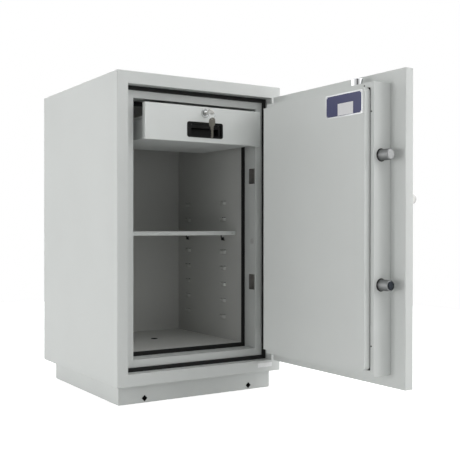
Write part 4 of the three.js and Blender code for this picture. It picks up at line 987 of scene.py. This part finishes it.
@dataclass
class BoltWork(Assembly):
    """The round bolts with the bar and the rod that move them."""

    bolt_radius: float = 13.25
    bolt_y: float = 58.0
    tip_x: float = 50.0
    side_z: Pair = (282.0, 589.0)
    side_length: float = 67.7
    top_tip: Point = (154.5, 58.0, 781.6)
    top_length: float = 69.8
    ease: float = 2.0
    rear_chamfer: float = 0.5
    end_disc_radius: float = 11.0

    place = DOOR_PLACE

    def build(self) -> None:
        """Dresses the bar and the rod and turns the three bolts."""
        self.dress(ZINC, 0.3, "bolt_bar", "top_rod")
        lower, upper = ((self.tip_x, self.bolt_y, height) for height in self.side_z)
        for level, tip in (("upper", upper), ("lower", lower)):
            bolt = moved(self.bolt(self.side_length), tip, Facing.LEFT)
            self.add(f"round_bolt_{level}", bolt, BOLT, "satin_steel", "side_bolts",
                     replaces=[f"side_bolt_{level}"])
        self.add("round_bolt_top", moved(self.bolt(self.top_length), self.top_tip), CHROME,
                 "chrome", "top_bolt_set", replaces=["top_bolt"])
        # Discs on the ends of the side bolts paint the light on the upper end and the shade on
        # the lower end.
        disc = self.end_disc_radius
        profile = [(0, -0.4), (disc, -0.4), (disc, 0.15), (disc * 0.97, 0.3), (disc * 0.6, 0.35),
                   (0, 0.4)]
        self.add("lower_bolt_end_shade", moved(turned(profile), lower, Facing.LEFT), SHADED_BOLT_END,
                 "black_steel", "side_bolts")
        self.add("upper_bolt_end_light", moved(turned(profile), upper, Facing.LEFT), LIT_BOLT_END,
                 "satin_steel", "side_bolts")

    def bolt(self, length: float) -> Shape:
        """Turns one bolt with its tip at the origin and its body below it."""
        radius, chamfer = self.bolt_radius, self.rear_chamfer
        return turned([(0, -length), (radius - chamfer, -length), (radius, -length + chamfer),
                       *rounded_corner(radius, 0, self.ease), (0, 0)], 64)


@dataclass
class Drawer(Assembly):
    """The drawer on its runners, with its pull."""

    pull_screw_x: Pair = (225.5, 314.5)
    pull_screw_z: float = 699.5
    pull_floor_y: float = -4.5
    screw_radius: float = 2.4
    screw_height: float = 1.0

    body = "drawer"

    def build(self) -> None:
        """Dresses the nodes and adds the pull's screws."""
        self.dress(LIT_DRAWER_PAINT, 0.5, "drawer_front")
        self.dress(PAINT, 0.5, "drawer_tray")
        self.dress(PLASTIC, 0.6, "drawer_pull")
        for side in SIDES:
            self.dress(ZINC, 0.3, f"runner_drawer_{side}", f"runner_middle_{side}")
        heads = together(moved(cross_screw(self.screw_radius, self.screw_height),
                               (x, self.pull_floor_y, self.pull_screw_z), Facing.FRONT)
                         for x in self.pull_screw_x)
        self.add("pull_screws", heads, BLACK_OXIDE, "black_steel")


@dataclass(frozen=True)
class KeyBlank:
    """The sizes of a flat key; its ring hole is at the origin and its blade points down."""

    bow_width: float
    bow_height: float
    bow_round: float
    rise: float
    hole: float
    shoulder: float
    blade_width: float
    blade: float
    thickness: float = 2.0
    collar: float = 1.4
    groove_depth: float = 0.45
    bitting: tuple[Pair, ...] = (
        (0.12, 0.0), (0.20, 1.5), (0.30, 1.5), (0.38, 0.5), (0.46, 2.0), (0.55, 2.0),
        (0.63, 0.8), (0.72, 1.7), (0.80, 1.7), (0.88, 0.2))

    def shape(self) -> Shape:
        """Cuts the key out of sheet, with its shoulder, its bitting and its groove.

        Returns:
            The shape, in the plane of x and y.
        """
        half, top = self.bow_width / 2, self.rise
        neck, low = self.blade_width / 2, self.rise - self.bow_height
        stop = low - self.shoulder
        tip = stop - self.blade
        wide = neck + self.collar
        outline = [(-half, top), (-half, low), (-wide, low), (-wide, stop), (-neck, stop),
                   (-neck, tip + neck), (0.5 - neck / 2, tip), (neck * 0.4, tip)]
        outline += [(neck - depth, stop - along * self.blade)
                    for along, depth in reversed(self.bitting)]
        outline += [(neck, stop), (wide, stop), (wide, low), (half, low), (half, top)]
        return sink(self.sheet(outline), (-neck * 0.55, tip + 1.5), (-neck * 0.05, stop - 0.5),
                    self.groove_depth, both_sides=True)

    def sheet(self, outline: Sequence[Pair]) -> Shape:
        """Cuts an outline with the ring's hole out of sheet, and rounds the bow's corners.

        Args:
            outline: the key's corners, of which the first and last two are the bow's.

        Returns:
            The flat key, centred on z = 0.
        """
        key = bmesh.new()
        corners = [key.verts.new((x, y, 0)) for x, y in outline]
        key.faces.new(corners)
        eased(key, corners[:2] + corners[-2:], self.bow_round, 7, "VERTICES")
        bmesh.ops.delete(key, geom=key.faces[:], context="FACES_ONLY")
        bmesh.ops.create_circle(key, segments=20, radius=self.hole)
        bmesh.ops.triangle_fill(key, use_beauty=True, use_dissolve=False, edges=key.edges[:])
        bmesh.ops.translate(key, vec=(0, 0, -self.thickness / 2), verts=key.verts)
        return outward(raised(key, key.faces[:], self.thickness))


@dataclass
class DrawerLock(Assembly):
    """The drawer's lock with its key, its split ring and the spare key."""

    x: float = 270.0
    z: float = 732.5
    face_y: float = -6.3
    body_radius: float = 9.0
    body_end_y: float = 14.0
    face_profile: tuple[Pair, ...] = (
        (12.4, 0), (12.4, 1.2), (12.0, 2.1), (11.0, 2.9), (10.2, 3.0), (9.4, 2.7), (8.6, 2.0),
        (7.3, 1.7), (7.2, 0.9), (6.8, 0.9), (6.7, 2.4), (6.2, 2.7), (0, 2.7))
    keyway: Pair = (1.4, 4.4)
    keyway_depth: float = 1.7
    tilt: float = -45.0
    ring_y: float = -39.0
    ring_radius: float = 9.5
    ring_turns: float = 2.0
    ring_pitch: float = 1.0
    steps_per_turn: int = 40
    wire_radius: float = 0.5
    spare_hole_z: float = 712.3
    spare_turn: float = 101.0
    lock_key: KeyBlank = KeyBlank(
        bow_width=17.6, bow_height=17.6, bow_round=7.0, rise=4.8, hole=3.4, shoulder=5.0,
        blade_width=7.0, blade=19.0)
    spare_key: KeyBlank = KeyBlank(
        bow_width=22.0, bow_height=24.0, bow_round=9.4, rise=3.8, hole=2.0, shoulder=6.0,
        blade_width=8.0, blade=25.5)

    body = "drawer_lock"

    def build(self) -> None:
        """Dresses the cam, turns the lock, cuts the keys and winds the ring."""
        self.dress(ZINC, 0.3, "lock_cam")
        lock = tilted(self.lock_shape(), -self.tilt, "Z")
        moved(lock, (self.x, self.face_y, self.z), Facing.FRONT)
        # The lock takes the darker copy of the chrome, which paints the dimmer reflection on its
        # face.
        self.add("lock", lock, SHADED_LOCK_CHROME, "chrome", replaces=["lock_barrel"])
        key = tilted(tilted(self.lock_key.shape(), 180, "Z"), 90 + self.tilt, "Y")
        moved(key, (self.x, self.ring_y, self.z))
        self.add("key_in_lock", key, BRIGHT_KEY, "chrome", replaces=["drawer_key"])
        spare = tilted(tilted(self.spare_key.shape(), 90, "X"), self.spare_turn, "Z")
        moved(spare, (self.x, self.ring_y, self.spare_hole_z))
        self.add("key_on_ring", spare, NICKEL, "chrome", "spare", replaces=["spare_key"])
        ring = moved(self.coil(), (self.x, self.ring_y, self.z - self.ring_radius),
                     Facing.FRONT)
        self.add("split_ring", ring, CHROME, "chrome", "ring", replaces=["key_ring"])

    def coil(self) -> Shape:
        """Winds the ring's round wire about +Z, centred on the origin."""
        shape = bmesh.new()
        turns, pitch = self.ring_turns, self.ring_pitch
        steps = round(self.steps_per_turn * turns)
        section = bmesh.ops.create_circle(shape, cap_ends=True, segments=10,
                                          radius=self.wire_radius)
        stand = (Matrix.Translation((self.ring_radius, 0, -pitch * turns / 2))
                 @ Matrix.Rotation(math.radians(90), 4, "X"))
        bmesh.ops.transform(shape, matrix=stand, verts=section["verts"])
        bmesh.ops.spin(shape, geom=shape.faces[:], cent=(0, 0, 0), axis=(0, 0, 1),
                       dvec=(0, 0, pitch * turns / steps), angle=math.tau * turns,
                       steps=steps, use_merge=False, use_duplicate=False)
        return outward(shape)

    def lock_shape(self) -> Shape:
        """Turns the lock with its rim, its dished face and its plug, and cuts the keyway.

        Returns:
            The shape, with the drawer's face at z = 0 and its keyway along y.
        """
        back, radius = self.face_y - self.body_end_y, self.body_radius
        across, along = self.keyway
        lock = turned([(0, back), (radius, back), (radius, 0), *self.face_profile], 56)
        return sink(lock, (-across, -along), (across, along), self.keyway_depth)


@dataclass(frozen=True)
class Softbox:
    """A large soft lamp."""

    name: str
    position: Point
    size: float
    watts: float
    target: Point = (0.0, -0.1, 0.45)

    def build(self) -> None:
        """Hangs the lamp and points it at its target."""
        lamp = bpy.data.lights.new(self.name, "AREA")
        lamp.shape = "SQUARE"
        lamp.size = self.size
        lamp.energy = self.watts
        holder = in_scene(self.name, lamp)
        aim = Vector(self.target) - Vector(self.position)
        holder.location = self.position
        holder.rotation_euler = aim.to_track_quat("-Z", "Y").to_euler()


@dataclass
class Studio:
    """The camera at the photograph's place, the pale floor, the sky and the lamps."""

    camera_at: Point = (-1.1697, -1.9623, 0.4677)
    yaw: float = 28.727
    pitch: float = -0.248
    lens: float = 58.55
    sensor: float = 36.0
    shift: Pair = (0.2162, 0.0035)
    clip: Pair = (0.05, 60.0)
    floor_size: float = 5.0
    floor_z: float = -0.0004
    floor_colour: Colour = (0.80, 0.80, 0.80)
    floor_lift: float = 0.70
    ambient: float = 0.15
    room_y: Pair = (-0.75, -0.15)
    room_strength: Pair = (0.2, 1.0)
    lamps: tuple[Softbox, ...] = (
        Softbox("left_rear_lamp", (-2.4, 1.6, 1.5), size=2.0, watts=17.0),
        Softbox("left_low_lamp", (-2.8, -0.2, 0.45), size=0.9, watts=22.0),
        Softbox("left_front_lamp", (-3.4, -2.0, 0.9), size=1.6, watts=10.0),
        Softbox("front_lamp", (0.2, -3.4, 1.4), size=2.0, watts=12.0),
        Softbox("right_front_lamp", (2.0, -2.6, 1.8), size=2.0, watts=30.0),
        Softbox("right_low_lamp", (2.0, -2.6, 0.45), size=0.9, watts=10.0),
        Softbox("top_front_lamp", (0.0, -2.0, 3.0), size=2.0, watts=18.0),
        Softbox("top_lamp", (0.0, 0.0, 3.2), size=2.4, watts=25.0),
        Softbox("right_lamp", (3.0, -0.2, 1.2), size=2.0, watts=40.0),
        Softbox("rear_lamp", (0.6, 3.2, 1.5), size=2.0, watts=45.0))

    def build(self) -> None:
        """Sets up everything round the safe."""
        self.place_camera()
        self.light_world()
        self.lay_floor()
        for lamp in self.lamps:
            lamp.build()
        bpy.context.scene.view_settings.view_transform = "Standard"

    def place_camera(self) -> None:
        """Puts the camera where the photograph was taken from."""
        data = bpy.data.cameras.new("view")
        data.lens = self.lens
        data.sensor_width = self.sensor
        data.shift_x, data.shift_y = self.shift
        data.clip_start, data.clip_end = self.clip
        camera = in_scene("view", data)
        camera.location = self.camera_at
        camera.rotation_euler = (math.radians(90 + self.pitch), 0, math.radians(-self.yaw))
        bpy.context.scene.camera = camera

    def light_world(self) -> None:
        """Makes a sky that is white to the camera and, in mirrors, dim behind the camera."""
        world = bpy.data.worlds.new("studio")
        bpy.context.scene.world = world
        graph = Graph(world)
        inputs = {"Value": graph.seen_directly(), "To Min": self.ambient,
                  "To Max": self.dark_room(graph)}
        strength = graph.add("MapRange", inputs)["Result"]
        graph.fill(graph.tree.nodes["Background"],
                   {"Color": (1, 1, 1, 1), "Strength": strength})

    def dark_room(self, graph: Graph) -> Socket:
        """Gives the sky's strength in mirrors, which is dim where the room would be.

        Args:
            graph: the sky's graph.

        Returns:
            The socket with the strength, which is 1 for the camera itself.
        """
        direction = graph.add("TexCoord", {})["Generated"]
        along = graph.add("SeparateXYZ", {"Vector": direction})["Y"]
        names = ("From Min", "From Max", "To Min", "To Max")
        inputs = {"Value": along, **dict(zip(names, (*self.room_y, *self.room_strength)))}
        room = graph.add("MapRange", inputs, interpolation_type="SMOOTHSTEP")["Result"]
        return graph.larger(room, graph.add("LightPath", {})["Is Camera Ray"])

    def lay_floor(self) -> None:
        """Lays a pale floor that shows white to the camera and keeps the safe's shadow."""
        shape = bmesh.new()
        bmesh.ops.create_grid(shape, x_segments=1, y_segments=1, size=self.floor_size / 2)
        mesh = as_mesh(shape, "floor")
        mesh.materials.append(self.floor_material())
        floor = in_scene("floor", mesh)
        floor.location.z = self.floor_z

    def floor_material(self) -> Material:
        """Builds the floor's matt paper, lifted towards white where the camera sees it."""
        material = bpy.data.materials.new("paper_floor")
        graph = Graph(material)
        graph.tree.nodes.remove(graph.tree.nodes["Principled BSDF"])
        matt = graph.add("BsdfDiffuse", {"Color": (*self.floor_colour, 1)})[0]
        lift = graph.add("Math", {0: graph.seen_directly(), 1: self.floor_lift},
                         operation="MULTIPLY")[0]
        glow = graph.add("Emission", {"Strength": lift})[0]
        both = graph.add("AddShader", {0: matt, 1: glow})[0]
        graph.fill(graph.tree.nodes["Material Output"], {"Surface": both})
        return material


def main() -> None:
    """Builds the studio and every sub-assembly in order."""
    logging.basicConfig(level=logging.INFO, format="%(name)s %(message)s")
    Studio().build()
    for assembly in (Cabinet(), Door(), Handle(), BoltWork(), Drawer(), DrawerLock()):
        assembly.build()


if __name__ == "__main__":
    main()
